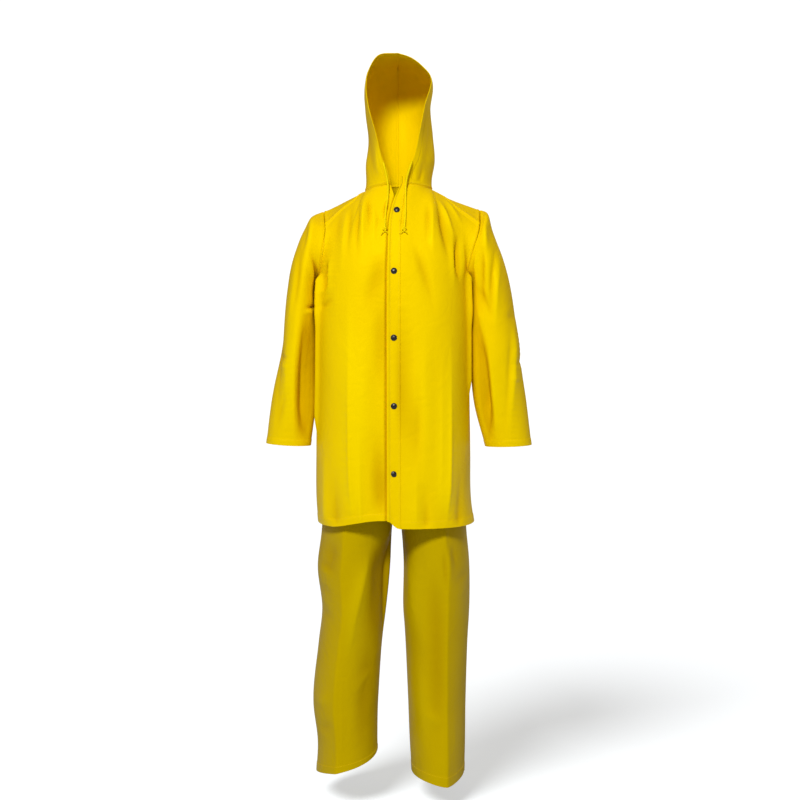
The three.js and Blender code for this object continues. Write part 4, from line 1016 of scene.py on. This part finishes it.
def fly_relief(point, u, v):
    """The fly follows the panel below it; its free edge is turned over and curls forward a little."""
    from_edge = u / FLY_COLUMN * FLY_WIDTH
    total = jacket_relief(point, u, np.minimum(v, 0.98)) + 0.5 * ease((4 - from_edge) / 1.5)
    total += FLY_CURL * ease((9 - from_edge) / 9) - 0.6 * np.exp(-((from_edge - 5.5) / 1.1) ** 2)
    for z in SNAP_AT.values():
        total -= 0.9 * np.exp(-((point[..., 2] - z) ** 2 + (from_edge - FLY_WIDTH / 2) ** 2) / 110)
    return total

def sleeve_relief(side):
    """Folds in front and behind that stay clear of the body on the inner side, with cuff hem and seam."""
    rows, seed = SLEEVE_FOLDS[side], {"right": 22, "left": 21}[side]

    def relief(point, turn, step):
        x, y, z = np.moveaxis(point, -1, 0)
        front = front_share(y)
        total = (fold_relief(rows["front"], x, z) + ripple_relief(RIPPLES["sleeve_" + side], x, z)) * front
        total += fold_relief(rows["back"], x, z) * (1 - front) + crumple(point, seed, 0.8)
        inward = np.cos(turn * 2 * math.pi)
        clear = np.where(total > 0, ease((0.9 - inward) / 0.35), ease((0.99 - inward) / 0.2))
        total *= clear * ease(step / 0.05)
        hem = hem_band((1 - step) * SLEEVE_LENGTH, SLEEVE_HEM)
        return total + hem + seam_ridge(step * SLEEVE_LENGTH + 0.4, 0.7)
    return relief

# %% Relief of the hood and the trousers
def hood_relief(side):
    """Folds that fade at the seams, with the cord's tunnel along the face edge and its stitched groove."""
    def relief(point, s, t):
        x, y, z = np.moveaxis(point, -1, 0)
        total = fold_relief(HOOD_FOLDS[side], x, z) * ease((60 - y) / 60) + crumple(point, 31, 0.9)
        total *= ease(t / 0.05) * ease((1 - s) / 0.05) * ease(s / 0.03)
        from_edge = s * HOOD_HALF
        groove = 0.6 * np.exp(-((from_edge - HOOD_TUNNEL) / 1.3) ** 2)
        tunnel = 1.1 * ease((HOOD_TUNNEL - from_edge) / 2) - groove
        seams = seam_ridge(t * HOOD_HEIGHT + 0.4, 0.9) + seam_ridge((1 - s) * HOOD_HALF, 0.9)
        return total + tunnel * ease(t / 0.03) + seams
    return relief

def trouser_relief(side, face):
    """Folds that fade at the leg's seams and at the centre seam, with the hem and both side seams."""
    rows, seed = TROUSER_FOLDS[side][face], {"right": 41, "left": 42}[side]

    def relief(point, u, v):
        x, y, z = np.moveaxis(point, -1, 0)
        total = fold_relief(rows, x, z) + crumple(point, seed, 1.2)
        if face == "front":
            total += ripple_relief(RIPPLES["trouser_" + side], x, z)
        edge = ease(u / 0.05) * ease((1 - u) / 0.05)
        centre = np.where(z > CROTCH_Z - 40, ease((np.abs(x - CENTRE_X) - 2) / 12), 1)
        side_seam = seam_ridge(u * LEG_HALF, 0.8) + seam_ridge((1 - u) * LEG_HALF, 0.5)
        return total * edge * centre + hem_band(v * TROUSER_LENGTH, TROUSER_HEM) + side_seam
    return relief

def no_relief(point, u, v):
    """The waistband lies hidden under the jacket and stays plain."""
    return np.zeros(point.shape[:-1])

# %% [markdown]
# ## Colour and finish
# The cloth is a knitted fabric under a smooth vinyl coating. Its gloss is soft and takes the coating's own
# yellow, and the threads below press a fine grain into it. Each effect is a node group, so that the jacket,
# the trousers and the cord can share it with their own values.

# %% Node group helpers
def new_group(name, inputs, outputs):
    """An empty shader group with its sockets: inputs give name, type and default, outputs name and type."""
    group = bpy.data.node_groups.new(name, "ShaderNodeTree")
    for label, kind, value in inputs:
        socket = group.interface.new_socket(name=label, in_out="INPUT", socket_type=kind)
        if value is not None:
            socket.default_value = value
    for label, kind in outputs:
        group.interface.new_socket(name=label, in_out="OUTPUT", socket_type=kind)
    return group, group.nodes.new("NodeGroupInput"), group.nodes.new("NodeGroupOutput")

def put(tree, kind, sources=(), **settings):
    """A node with its settings; sources pair an input's name or number with a socket or a plain value."""
    node = tree.nodes.new(kind)
    for key, value in settings.items():
        setattr(node, key, value)
    for key, source in sources:
        if hasattr(source, "is_linked"):
            tree.links.new(source, node.inputs[key])
        else:
            node.inputs[key].default_value = source
    return node

def math_node(tree, operation, *values):
    """A Math node's result."""
    return put(tree, "ShaderNodeMath", list(enumerate(values)), operation=operation).outputs[0]

def noise_node(tree, place, scale, *rest):
    """Noise over a place; rest pairs its other inputs with values."""
    return put(tree, "ShaderNodeTexNoise", [("Vector", place), ("Scale", scale), *rest]).outputs[0]

def ramp(tree, value, low, high):
    """A share that grows from 0 where the value is low to 1 where it is high."""
    node = put(tree, "ShaderNodeMapRange", [("Value", value), ("From Min", low), ("From Max", high)])
    return node.outputs[0]

def mixed_colour(tree, share, first, second):
    """The first colour at share 0 and the second at 1."""
    node = put(tree, "ShaderNodeMix", [("Factor", share), (6, first), (7, second)], data_type="RGBA")
    return node.outputs[2]

FLOAT, VECTOR, COLOUR = "NodeSocketFloat", "NodeSocketVector", "NodeSocketColor"

# %% Weave under the coating
def make_coated_weave():
    """Height of a plain weave seen through a coating: sin(pi x / pitch) times sin(pi y / pitch), softened."""
    group, given, made = new_group(
        "coated_weave", [("Cut", VECTOR, None), ("Thread Pitch", FLOAT, 0.0009)], [("Height", FLOAT)])
    axes = put(group, "ShaderNodeSeparateXYZ", [(0, given.outputs["Cut"])])
    waves = []
    for axis in (0, 1):
        turn = math_node(group, "DIVIDE", axes.outputs[axis], given.outputs["Thread Pitch"])
        waves.append(math_node(group, "SINE", math_node(group, "MULTIPLY", turn, math.pi)))
    product = math_node(group, "MULTIPLY", *waves)
    group.links.new(math_node(group, "MULTIPLY_ADD", product, 0.5, 0.5), made.inputs["Height"])
    return group

# %% Mottle, crumple and fold shade tint
# How far the mottle alone may turn the colour towards the tone that is painted as shade
PATCH_SHARE = 0.15

def make_soft_mottle():
    """Broad soft patches from 0 to 1, for slight changes of colour and gloss over the coating."""
    group, given, made = new_group(
        "soft_mottle", [("Place", VECTOR, None), ("Patches", FLOAT, 7.0)], [("Value", FLOAT)])
    noise = noise_node(group, given.outputs["Place"], given.outputs["Patches"],
                       ("Detail", 3.0), ("Roughness", 0.55))
    group.links.new(ramp(group, noise, 0.3, 0.7), made.inputs["Value"])
    return group

def make_handled_crumple():
    """Height of small creases left by folding and handling: ridged noise, and a finer, lower one on it."""
    group, given, made = new_group(
        "handled_crumple", [("Place", VECTOR, None), ("Fineness", FLOAT, 22.0)], [("Height", FLOAT)])
    place, fineness = given.outputs["Place"], given.outputs["Fineness"]
    broad = noise_node(group, place, fineness, ("Detail", 2.0), ("Roughness", 0.5), ("Distortion", 0.6))
    fine = noise_node(group, place, math_node(group, "MULTIPLY", fineness, 3.3), ("Detail", 3.0))
    folded = math_node(group, "ABSOLUTE", math_node(group, "SUBTRACT", broad, 0.5))
    group.links.new(math_node(group, "MULTIPLY_ADD", fine, 0.18, folded), made.inputs["Height"])
    return group

def make_fold_shade_tint():
    """Colour over the folds: low places take a deeper tone as painted shade, and high ones a lighter tone,
    slightly rubbed on cloth and a painted highlight on cord, thread and snap.
    """
    group, given, made = new_group(
        "fold_shade_tint",
        [("Relief", FLOAT, 0.0), ("Reach", FLOAT, 6.0), ("Patch", FLOAT, 0.5),
         ("Low", COLOUR, None), ("Middle", COLOUR, None), ("High", COLOUR, None)],
        [("Color", COLOUR), ("Rub", FLOAT)])
    relief, reach, patch, low, middle, high = (
        given.outputs[name] for name in ("Relief", "Reach", "Patch", "Low", "Middle", "High"))
    # The shade tone is painted shade over low relief; the high tone is rub on cloth and a painted highlight on
    # the small parts
    share = ramp(group, relief, math_node(group, "MULTIPLY", reach, -1.0), reach)
    lower, upper = ramp(group, share, 0.5, 0.0), ramp(group, share, 0.5, 1.0)
    towards_shade = math_node(group, "MAXIMUM", lower, math_node(group, "MULTIPLY", patch, PATCH_SHARE))
    first = mixed_colour(group, towards_shade, middle, low)
    group.links.new(mixed_colour(group, upper, first, high), made.inputs["Color"])
    group.links.new(upper, made.inputs["Rub"])
    return group

coated_weave, soft_mottle = make_coated_weave(), make_soft_mottle()
handled_crumple, fold_shade_tint = make_handled_crumple(), make_fold_shade_tint()
print("node groups:", [group.name for group in bpy.data.node_groups])

# %% Materials
THREAD_PITCH, FOLD_REACH, CLOTH_GLOSS = 0.0009, 6.0, (1.0, 0.78, 0.0)
CRUMPLE_DEPTH, WEAVE_DEPTH = 0.0045, 0.00012

def grouped(tree, group, **values):
    """A group's node; each input is named with _ for a space, and given a socket or a plain value."""
    sources = [(key.replace("_", " "), value) for key, value in values.items()]
    return put(tree, "ShaderNodeGroup", sources, node_tree=group)

def tinted_material(name, tones, patches, reach, gloss_tint):
    """A material coloured by the fold shade tint over its piece's relief, which paints shade in the low
    places, and the sockets that it is built on.
    """
    material = bpy.data.materials.new(name)
    material.use_nodes = True
    tree = material.node_tree
    shader = tree.nodes["Principled BSDF"]
    shader.inputs["Specular Tint"].default_value = (*gloss_tint, 1)
    place_at = tree.nodes.new("ShaderNodeTexCoord").outputs["Object"]
    relief = put(tree, "ShaderNodeAttribute", attribute_name="relief").outputs["Fac"]
    patch = grouped(tree, soft_mottle, Place=place_at, Patches=patches).outputs[0]
    low, middle, high = ((*tone, 1) for tone in tones)
    tint = grouped(tree, fold_shade_tint, Relief=relief, Reach=reach, Patch=patch,
                   Low=low, Middle=middle, High=high)
    tree.links.new(tint.outputs["Color"], shader.inputs["Base Color"])
    return material, shader, place_at, patch, tint.outputs["Rub"]

def coated_cloth(name, *tones, roughness, patches, fineness):
    """Vinyl-coated cloth: fold shade tint for colour, which paints shade into its troughs, mottle for gloss,
    and weave and crumple as two soft bumps.
    """
    material, shader, place_at, patch, rub = tinted_material(name, tones, patches, FOLD_REACH, CLOTH_GLOSS)
    tree = material.node_tree
    cut = put(tree, "ShaderNodeUVMap", uv_map="cut").outputs[0]
    gloss = math_node(tree, "MULTIPLY_ADD", patch, 0.12, roughness)
    rubbed = math_node(tree, "SUBTRACT", gloss, math_node(tree, "MULTIPLY", rub, 0.08))
    tree.links.new(rubbed, shader.inputs["Roughness"])
    weave = grouped(tree, coated_weave, Cut=cut, Thread_Pitch=THREAD_PITCH).outputs[0]
    creases = grouped(tree, handled_crumple, Place=place_at, Fineness=fineness).outputs[0]
    soft = put(tree, "ShaderNodeBump", [("Strength", 0.5), ("Distance", CRUMPLE_DEPTH), ("Height", creases)])
    grain = put(tree, "ShaderNodeBump", [("Strength", 0.16), ("Distance", WEAVE_DEPTH), ("Height", weave),
                                         ("Normal", soft.outputs[0])])
    tree.links.new(grain.outputs[0], shader.inputs["Normal"])
    shader.inputs["IOR"].default_value = 1.34
    shader.inputs["Specular IOR Level"].default_value = 0.42
    return material

def small_material(name, *tones, reach, roughness, grain, gloss_tint):
    """Cord, thread and snap: fold shade tint over the piece's own relief, painting shade where it is low and a
    highlight where it is high, with patchy gloss and grain per metre.
    """
    material, shader, place_at, patch, _ = tinted_material(name, tones, grain / 6, reach, gloss_tint)
    tree = material.node_tree
    tree.links.new(math_node(tree, "MULTIPLY_ADD", patch, 0.15, roughness), shader.inputs["Roughness"])
    rough = grouped(tree, handled_crumple, Place=place_at, Fineness=grain).outputs[0]
    bump = put(tree, "ShaderNodeBump", [("Strength", 0.3), ("Distance", 0.4 / grain), ("Height", rough)])
    tree.links.new(bump.outputs[0], shader.inputs["Normal"])
    return material

# Painted shade: each cloth's first tone darkens its troughs. The trouser cloth is a darker copy of the
# jacket's yellow, painted shade for the weaker light on the legs
jacket_cloth = coated_cloth("jacket_cloth", (0.70, 0.455, 0.0), (0.88, 0.645, 0.0), (0.91, 0.69, 0.0),
                            roughness=0.42, patches=7.0, fineness=20.0)
trouser_cloth = coated_cloth("trouser_cloth", (0.485, 0.33, 0.0), (0.56, 0.41, 0.0), (0.59, 0.445, 0.0),
                             roughness=0.46, patches=8.0, fineness=18.0)
# Snap, cord and thread: the first tone is painted shade where their relief is low and the last a painted
# highlight where it is high
snap_black = small_material("snap_black", (0.006, 0.006, 0.007), (0.012, 0.012, 0.013), (0.035, 0.034, 0.034),
                            reach=1.0, roughness=0.26, grain=420.0, gloss_tint=(1, 1, 1))
drawcord_cloth = small_material("drawcord", (0.66, 0.46, 0.0), (0.97, 0.80, 0.0), (1.0, 0.90, 0.01),
                                reach=0.5, roughness=0.6, grain=900.0, gloss_tint=(1, 0.85, 0.05))
thread = small_material("thread", (0.50, 0.32, 0.003), (0.78, 0.55, 0.01), (0.88, 0.66, 0.02),
                        reach=0.5, roughness=0.55, grain=2400.0, gloss_tint=(1, 0.85, 0.2))

# %% [markdown]
# ## The pieces
# Each wall takes the place of its solid, rides the one body and says how large its flat cut is.

# %% Jacket pieces
FINE = 2

def half(count):
    return max(2, count * FINE // 2)

def place(piece, node, material, slot):
    """The piece takes its material and its solid's place, and rides the one body."""
    piece.data.materials.append(material)
    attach(piece, "root")
    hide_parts(node)
    return piece

def keep_side(sign, centre):
    """Holds a panel on its side of the centre seam, where its edge laps the other one by a hair."""
    return lambda p: np.concatenate(
        [centre + sign * np.maximum(-SEAM_LAP, sign * (p[..., :1] - centre)), p[..., 1:]], -1)

skins = {
    "jacket_front_left": skin(left_front, jacket_relief),
    "jacket_front_right": skin(right_front, right_front_relief, flip=True),
    "jacket_back": skin(jacket_back, jacket_relief, first=-1.0),
    "front_fly": skin(left_front, fly_relief, lift=FLY_LIFT + WALL, last=FLY_COLUMN),
    "sleeve_right": skin(sleeve_surface("right"), sleeve_relief("right"), wrap=True),
    "sleeve_left": skin(sleeve_surface("left"), sleeve_relief("left"), wrap=True, flip=True),
    "hood_right": skin(hood_surface("right"), hood_relief("right"), inside=0.02, keep=keep_side(-1, 0),
                       flip=True),
    "hood_left": skin(hood_surface("left"), hood_relief("left"), inside=0.02, keep=keep_side(1, 0)),
    "waistband": skin(waist_ring, no_relief, wrap=True),
}
for side in ("right", "left"):
    for face in ("front", "back"):
        skins[f"trouser_{face}_{side}"] = skin(
            trouser_surface(side, face), trouser_relief(side, face),
            flip=(side == "right") != (face == "front"),
            keep=keep_side(-1 if side == "right" else 1, CENTRE_X))

front_rows = rows_between((0, 0), (0.024, half(16)), (HEM_SHARE, half(110)), (0.985, half(60)), (1, half(8)))
across_front = rows_between((0, 0), (0.012, half(3)), (FLY_COLUMN, half(7)), (PLAIN_COLUMN, 1),
                            (0.97, half(94)), (1, half(8)))
across_right = rows_between((0, 0), (0.01, half(3)), (PLAIN_COLUMN, half(24)), (0.97, half(94)), (1, half(8)))
across_back = rows_between((-1, 0), (-0.97, half(8)), (0, half(78)), (0.97, half(78)), (1, half(8)))
back_rows = rows_between((0, 0), (0.024, half(16)), (HEM_SHARE, half(98)), (0.99, half(68)), (1, half(8)))
fly_rows = rows_between((0, 0), (0.024, half(16)), (HEM_SHARE, half(110)), (1, half(70)),
                        (mix(HEM_SHARE, 1, FLY_TOP), half(10)))
across_fly = rows_between((0, 0), (FLY_COLUMN, half(26)))
jacket_grids = {
    "jacket_front_left": (across_front, front_rows, "end top"),
    "jacket_front_right": (across_right, front_rows, "end top"),
    "jacket_back": (across_back, back_rows, "start end top"),
    "front_fly": (across_fly, fly_rows, ""),
}

def sew(node, us, vs, seams, material, slot):
    """Makes a node's cloth wall from its skin and puts it in place."""
    place(cloth_wall(node + "_cloth", skins[node], us, vs, seams), node, material, slot)

for node, (us, vs, seams) in jacket_grids.items():
    sew(node, us, vs, seams, jacket_cloth, "jacket_cloth")

# %% Sleeves, hood and trousers
around_sleeve = np.linspace(0, 1, half(140), endpoint=False)
sleeve_rows = rows_between((0, 0), (0.02, half(8)), (0.96, half(116)), (1, half(14)))
around_hood = rows_between((0, 0), (0.08, half(22)), (0.96, half(60)), (1, half(8)))
hood_rows = rows_between((-0.003, 0), (0.03, half(8)), (1, half(84)))
across_leg = rows_between((0, 0), (0.04, half(8)), (0.97, half(78)), (1, half(5)))
leg_rows = rows_between((0, 0), (0.03, half(20)), (1, half(140)))
around_waist, waist_rows = np.linspace(0, 1, half(220), endpoint=False), rows_between((0, 0), (1, half(14)))
for side in ("right", "left"):
    sew("sleeve_" + side, around_sleeve, sleeve_rows, "", jacket_cloth, "jacket_cloth")
    sew("hood_" + side, around_hood, hood_rows, "top bottom", jacket_cloth, "jacket_cloth")
    for face in ("front", "back"):
        sew(f"trouser_{face}_{side}", across_leg, leg_rows, "start end top", trouser_cloth, "trouser_cloth")
sew("waistband", around_waist, waist_rows, "bottom", trouser_cloth, "trouser_cloth")

# %% Snaps
SNAP_RADIUS, SNAP_HEIGHT, SNAP_SEAT = 7.5, 3.6, 0.4
SNAP_PROFILE = np.array([
    (0, 0), (0.9, 0), (0.965, 0.04), (1, 0.14), (0.99, 0.26), (0.93, 0.4), (0.86, 0.46), (0.8, 0.5),
    (0.72, 0.66), (0.58, 0.82), (0.4, 0.93), (0.2, 0.985), (0, 1)])

def share_at_height(z):
    """The panel share at which the snap line reaches a height, by interpolation along the line."""
    v = np.linspace(0, 1, 2000)
    return np.interp(z, left_front(np.full(2000, SNAP_COLUMN), v)[:, 2], v)

def lathe(profile, centre, normal, sides=48):
    """A closed turned form on its axis, from (radius, height) pairs."""
    side = unit(np.cross(normal, (0.0, 0.0, 1.0)))
    up = np.cross(normal, side)
    turn = np.linspace(0, 2 * math.pi, sides, endpoint=False)
    ring = np.cos(turn)[:, None] * side + np.sin(turn)[:, None] * up
    inner = profile[1:-1]
    points = centre + inner[:, 0, None, None] * ring + inner[:, 1, None, None] * normal
    ends = centre + profile[[0, -1], 1, None] * normal
    i, count = np.arange(sides), len(inner) * sides
    faces = np.concatenate([grid_quads(len(inner), sides, wrap=True), fan_caps(i, i + count - sides, count)])
    return np.concatenate([points.reshape(-1, 3), ends]), faces

SNAP_LEANS = {"snap_1": (0.0, 0.0, 0.06), "snap_5": (0.16, 0.0, 0.12)}
for name, z in SNAP_AT.items():
    centre, normal, _ = skins["front_fly"](SNAP_COLUMN, share_at_height(z))
    normal = unit(normal + np.array(SNAP_LEANS.get(name, (0, 0, 0))))
    profile = SNAP_PROFILE * (SNAP_RADIUS, SNAP_HEIGHT)
    points, faces = lathe(profile, centre + normal * SNAP_SEAT, normal)
    # Painted highlight: a ring near the cap's rim, passed to the material as relief, takes the lighter tone
    from_axis = np.linalg.norm(np.cross(points - centre, normal), axis=1) / SNAP_RADIUS
    rim_glint = np.exp(-((from_axis - 0.9) / 0.06) ** 2)
    snap = new_mesh(name + "_cap", points, faces, relief=rim_glint, sharp_deg=50)
    place(snap, name, snap_black, "snap_black")
for name, cord in cords.items():
    place(cord, name, drawcord_cloth, "drawcord")
    place(knots[name], name.replace("drawcord", "knot"), drawcord_cloth, "drawcord")

# %% [markdown]
# ## Stitches
# The hems, the fly's two edges, the hood's tunnel and the seams each show a row of thread. One stitch is
# a short strand that leaves a needle hole, lies on the cloth and dives into the next hole, so each is
# a small rod of four rings. A bump map alone would lose them at the outline and in a close view.

# %% Rows of stitches
STITCH_PITCH, STITCH_LENGTH, THREAD_RADIUS, THREAD_SIDES = 4.2, 3.1, 0.36, 5
STITCH_SHARES = np.array([-0.5, -0.3, 0.3, 0.5])
STITCH_RISE = np.array([-0.4, 0.16, 0.16, -0.4])
STITCH_TAPER = np.array([0.6, 1, 1, 0.6])
PATH_POINTS = 1600
corner = np.arange(1, THREAD_SIDES - 1)
first_cap = np.stack([0 * corner, corner + 1, corner, corner], -1)
ROD_FACES = np.concatenate([grid_quads(4, THREAD_SIDES, wrap=True), first_cap,
                            first_cap[:, [0, 2, 1, 1]] + 3 * THREAD_SIDES])

def stitch_row(node, u, v):
    """The stitches of one path on a skin; u and v are numbers or (from, to) pairs. Each ring of a rod stands
    square to its stitch: centre + radius (cos a side + sin a up)."""
    u, v = (np.linspace(*pair, PATH_POINTS) if isinstance(pair, tuple) else pair for pair in (u, v))
    point, normal, _ = skins[node](u, v)
    along = travelled(point)
    middle = (np.arange(int(along[-1] / STITCH_PITCH)) + 0.5) * STITCH_PITCH
    where = middle[:, None] + STITCH_SHARES * STITCH_LENGTH
    pick = lambda values: np.stack([np.interp(where, along, values[:, k]) for k in range(3)], -1)
    up = unit(pick(normal))
    line = pick(point) + up * STITCH_RISE[:, None]
    side = unit(np.cross(up, line[:, -1:] - line[:, :1]))
    turn = np.linspace(0, 2 * math.pi, THREAD_SIDES, endpoint=False)[:, None]
    ring = np.cos(turn) * side[:, :, None] + np.sin(turn) * up[:, :, None]
    points = line[:, :, None] + THREAD_RADIUS * STITCH_TAPER[:, None, None] * ring
    first = np.arange(len(middle)) * 4 * THREAD_SIDES
    # Painted shade and highlight: the rings where a stitch dives into its holes take the thread's darker tone,
    # its top the lighter one
    height = np.broadcast_to((STITCH_RISE[:, None] + 0.2) * np.ones(THREAD_SIDES), points.shape[:-1])
    return points.reshape(-1, 3), (ROD_FACES + first[:, None, None]).reshape(-1, 4), height.ravel()

# %% Where the thread runs
FLY_TOP_SHARE = mix(HEM_SHARE, 1, FLY_TOP) - 0.006
jacket_hem, shoulder, armhole = 0.0173, 0.9946, 0.974
jacket_rows = [
    ("front_fly", 0.022, (0.012, FLY_TOP_SHARE)), ("front_fly", 0.088, (0.012, FLY_TOP_SHARE)),
    ("front_fly", (0.004, 0.097), jacket_hem), ("jacket_front_left", (0.104, 0.99), jacket_hem),
    ("jacket_front_right", (0.08, 0.99), jacket_hem), ("jacket_back", (-0.99, 0.99), jacket_hem),
    ("jacket_back", (-0.445, 0.445), 0.993), ("jacket_front_left", (0.106, 0.445), 0.993),
    ("jacket_front_right", (0.03, 0.445), 0.993),
    ("jacket_back", (-0.97, -0.46), shoulder), ("jacket_back", (0.46, 0.97), shoulder)]
for panel in ("jacket_front_left", "jacket_front_right"):
    jacket_rows += [(panel, (0.46, 0.97), shoulder), (panel, armhole, (0.63, 0.99))]
jacket_rows += [("jacket_back", sign * armhole, (0.63, 0.99)) for sign in (-1, 1)]
for side in ("right", "left"):
    jacket_rows += [("sleeve_" + side, (0.0, 1.0), 0.9725), ("hood_" + side, 0.0625, (0.015, 0.994)),
                    ("hood_" + side, (0.03, 0.98), 0.0125), ("hood_" + side, 0.985, (0.02, 0.985))]
trouser_rows = [(f"trouser_{face}_{side}", (0.01, 0.99), 0.0213)
                for face in ("front", "back") for side in ("right", "left")]
trouser_rows += [("waistband", (0.0, 1.0), share) for share in (0.1, 0.9)]
for name, rows, slot in (("stitches_jacket", jacket_rows, "jacket_cloth"),
                         ("stitches_trousers", trouser_rows, "trouser_cloth")):
    points, faces, height = join_parts([stitch_row(*row) for row in rows])
    stitches = new_mesh(name, points, faces, relief=height)
    stitches.data.materials.append(thread)
    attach(stitches, "root")
    print(name, "stitches", len(points) // (4 * THREAD_SIDES), "triangles", len(faces) + len(points) * 3 // 4)

# %% [markdown]
# ## Floor and light
# The suit stands before a seamless white ground. One soft light, high and in front, models the cloth, and
# a weak one behind keeps the back readable. A third light is flagged so that it reaches the floor alone:
# it lays the long soft shadow behind the suit without flattening the folds.

# %% Floor and room
FLOOR_Z = -1508
FLOOR_GLOW, FLOOR_COLOUR = 0.56, (0.30, 0.47, 0.72)
ROOM_FILL, ROOM_SEEN = (0.26, 0.165, 0.108), (1.1, 1.1, 1.1)
floor_material = bpy.data.materials.new("pale_floor")
floor_material.use_nodes = True
floor_tree = floor_material.node_tree
floor_shader = floor_tree.nodes["Principled BSDF"]
floor_shader.inputs["Base Color"].default_value = (*FLOOR_COLOUR, 1)
floor_shader.inputs["Roughness"].default_value = 0.9
floor_shader.inputs["Specular IOR Level"].default_value = 0.0
floor_shader.inputs["Emission Color"].default_value = (1, 1, 1, 1)
seen = floor_tree.nodes.new("ShaderNodeLightPath").outputs["Is Camera Ray"]
glow = math_node(floor_tree, "MULTIPLY", seen, FLOOR_GLOW)
floor_tree.links.new(glow, floor_shader.inputs["Emission Strength"])
FLOOR_CORNERS = [(-9000, -5000, FLOOR_Z), (9000, -5000, FLOOR_Z),
                 (9000, 9000, FLOOR_Z), (-9000, 9000, FLOOR_Z)]
floor = new_mesh("floor", FLOOR_CORNERS, np.array([[0, 1, 2, 3]]))
floor.data.materials.append(floor_material)
floor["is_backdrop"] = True
world = bpy.data.worlds.new("white_room")
world.use_nodes = True
room = world.node_tree.nodes["Background"]
seen = world.node_tree.nodes.new("ShaderNodeLightPath").outputs["Is Camera Ray"]
shown = mixed_colour(world.node_tree, seen, (*ROOM_FILL, 1), (*ROOM_SEEN, 1))
world.node_tree.links.new(shown, room.inputs["Color"])
bpy.context.scene.world = world
bpy.context.scene.view_settings.view_transform = "Standard"

# %% Lights
def studio_light(name, kind, direction, strength, softness, target=(0, 0, -0.3), distance=3.3):
    """A light seen from the target at an azimuth left of the camera and a height, both in degrees."""
    azimuth, height = (math.radians(value) for value in direction)
    level = math.cos(height)
    away = np.array([-math.sin(azimuth) * level, -math.cos(azimuth) * level, math.sin(height)])
    data = bpy.data.lights.new(name, kind)
    data.energy = strength
    if kind == "AREA":
        data.shape, data.size = "DISK", softness
    else:
        data.angle = softness
    light = bpy.data.objects.new(name, data)
    light.location = np.array(target) + away * distance
    light.rotation_euler = (math.pi / 2 - height, 0, -azimuth)
    bpy.context.scene.collection.objects.link(light)
    return light

def reach_only(light, *objects):
    """The light falls on these objects alone; everything still throws its shadow."""
    reached = bpy.data.collections.new(light.name + "_reaches")
    for thing in objects:
        reached.objects.link(thing)
    light.light_linking.receiver_collection = reached

front_light = studio_light("front_soft_light", "AREA", (10, 30), 201, 0.9, distance=5)
back_light = studio_light("back_soft_light", "AREA", (210, 26), 46, 0.9)
back_light.visible_glossy = False
shadow_light = studio_light("floor_shadow_light", "SUN", (36, 49), 5.8, math.radians(24))
shadow_light.data.color = (1, 0.667, 0.448)
reach_only(shadow_light, floor)
for light in (front_light, back_light):
    reach_only(light, *[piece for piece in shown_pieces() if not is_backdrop(piece)])

# %% [markdown]
# ## Sizes and the end
# Each cord's route is turned into a path of points in metres.

for name, cord in cords.items():
    line, length = cord_lines[name]
    path = [tuple(float(value) * MM for value in point) for point in line]
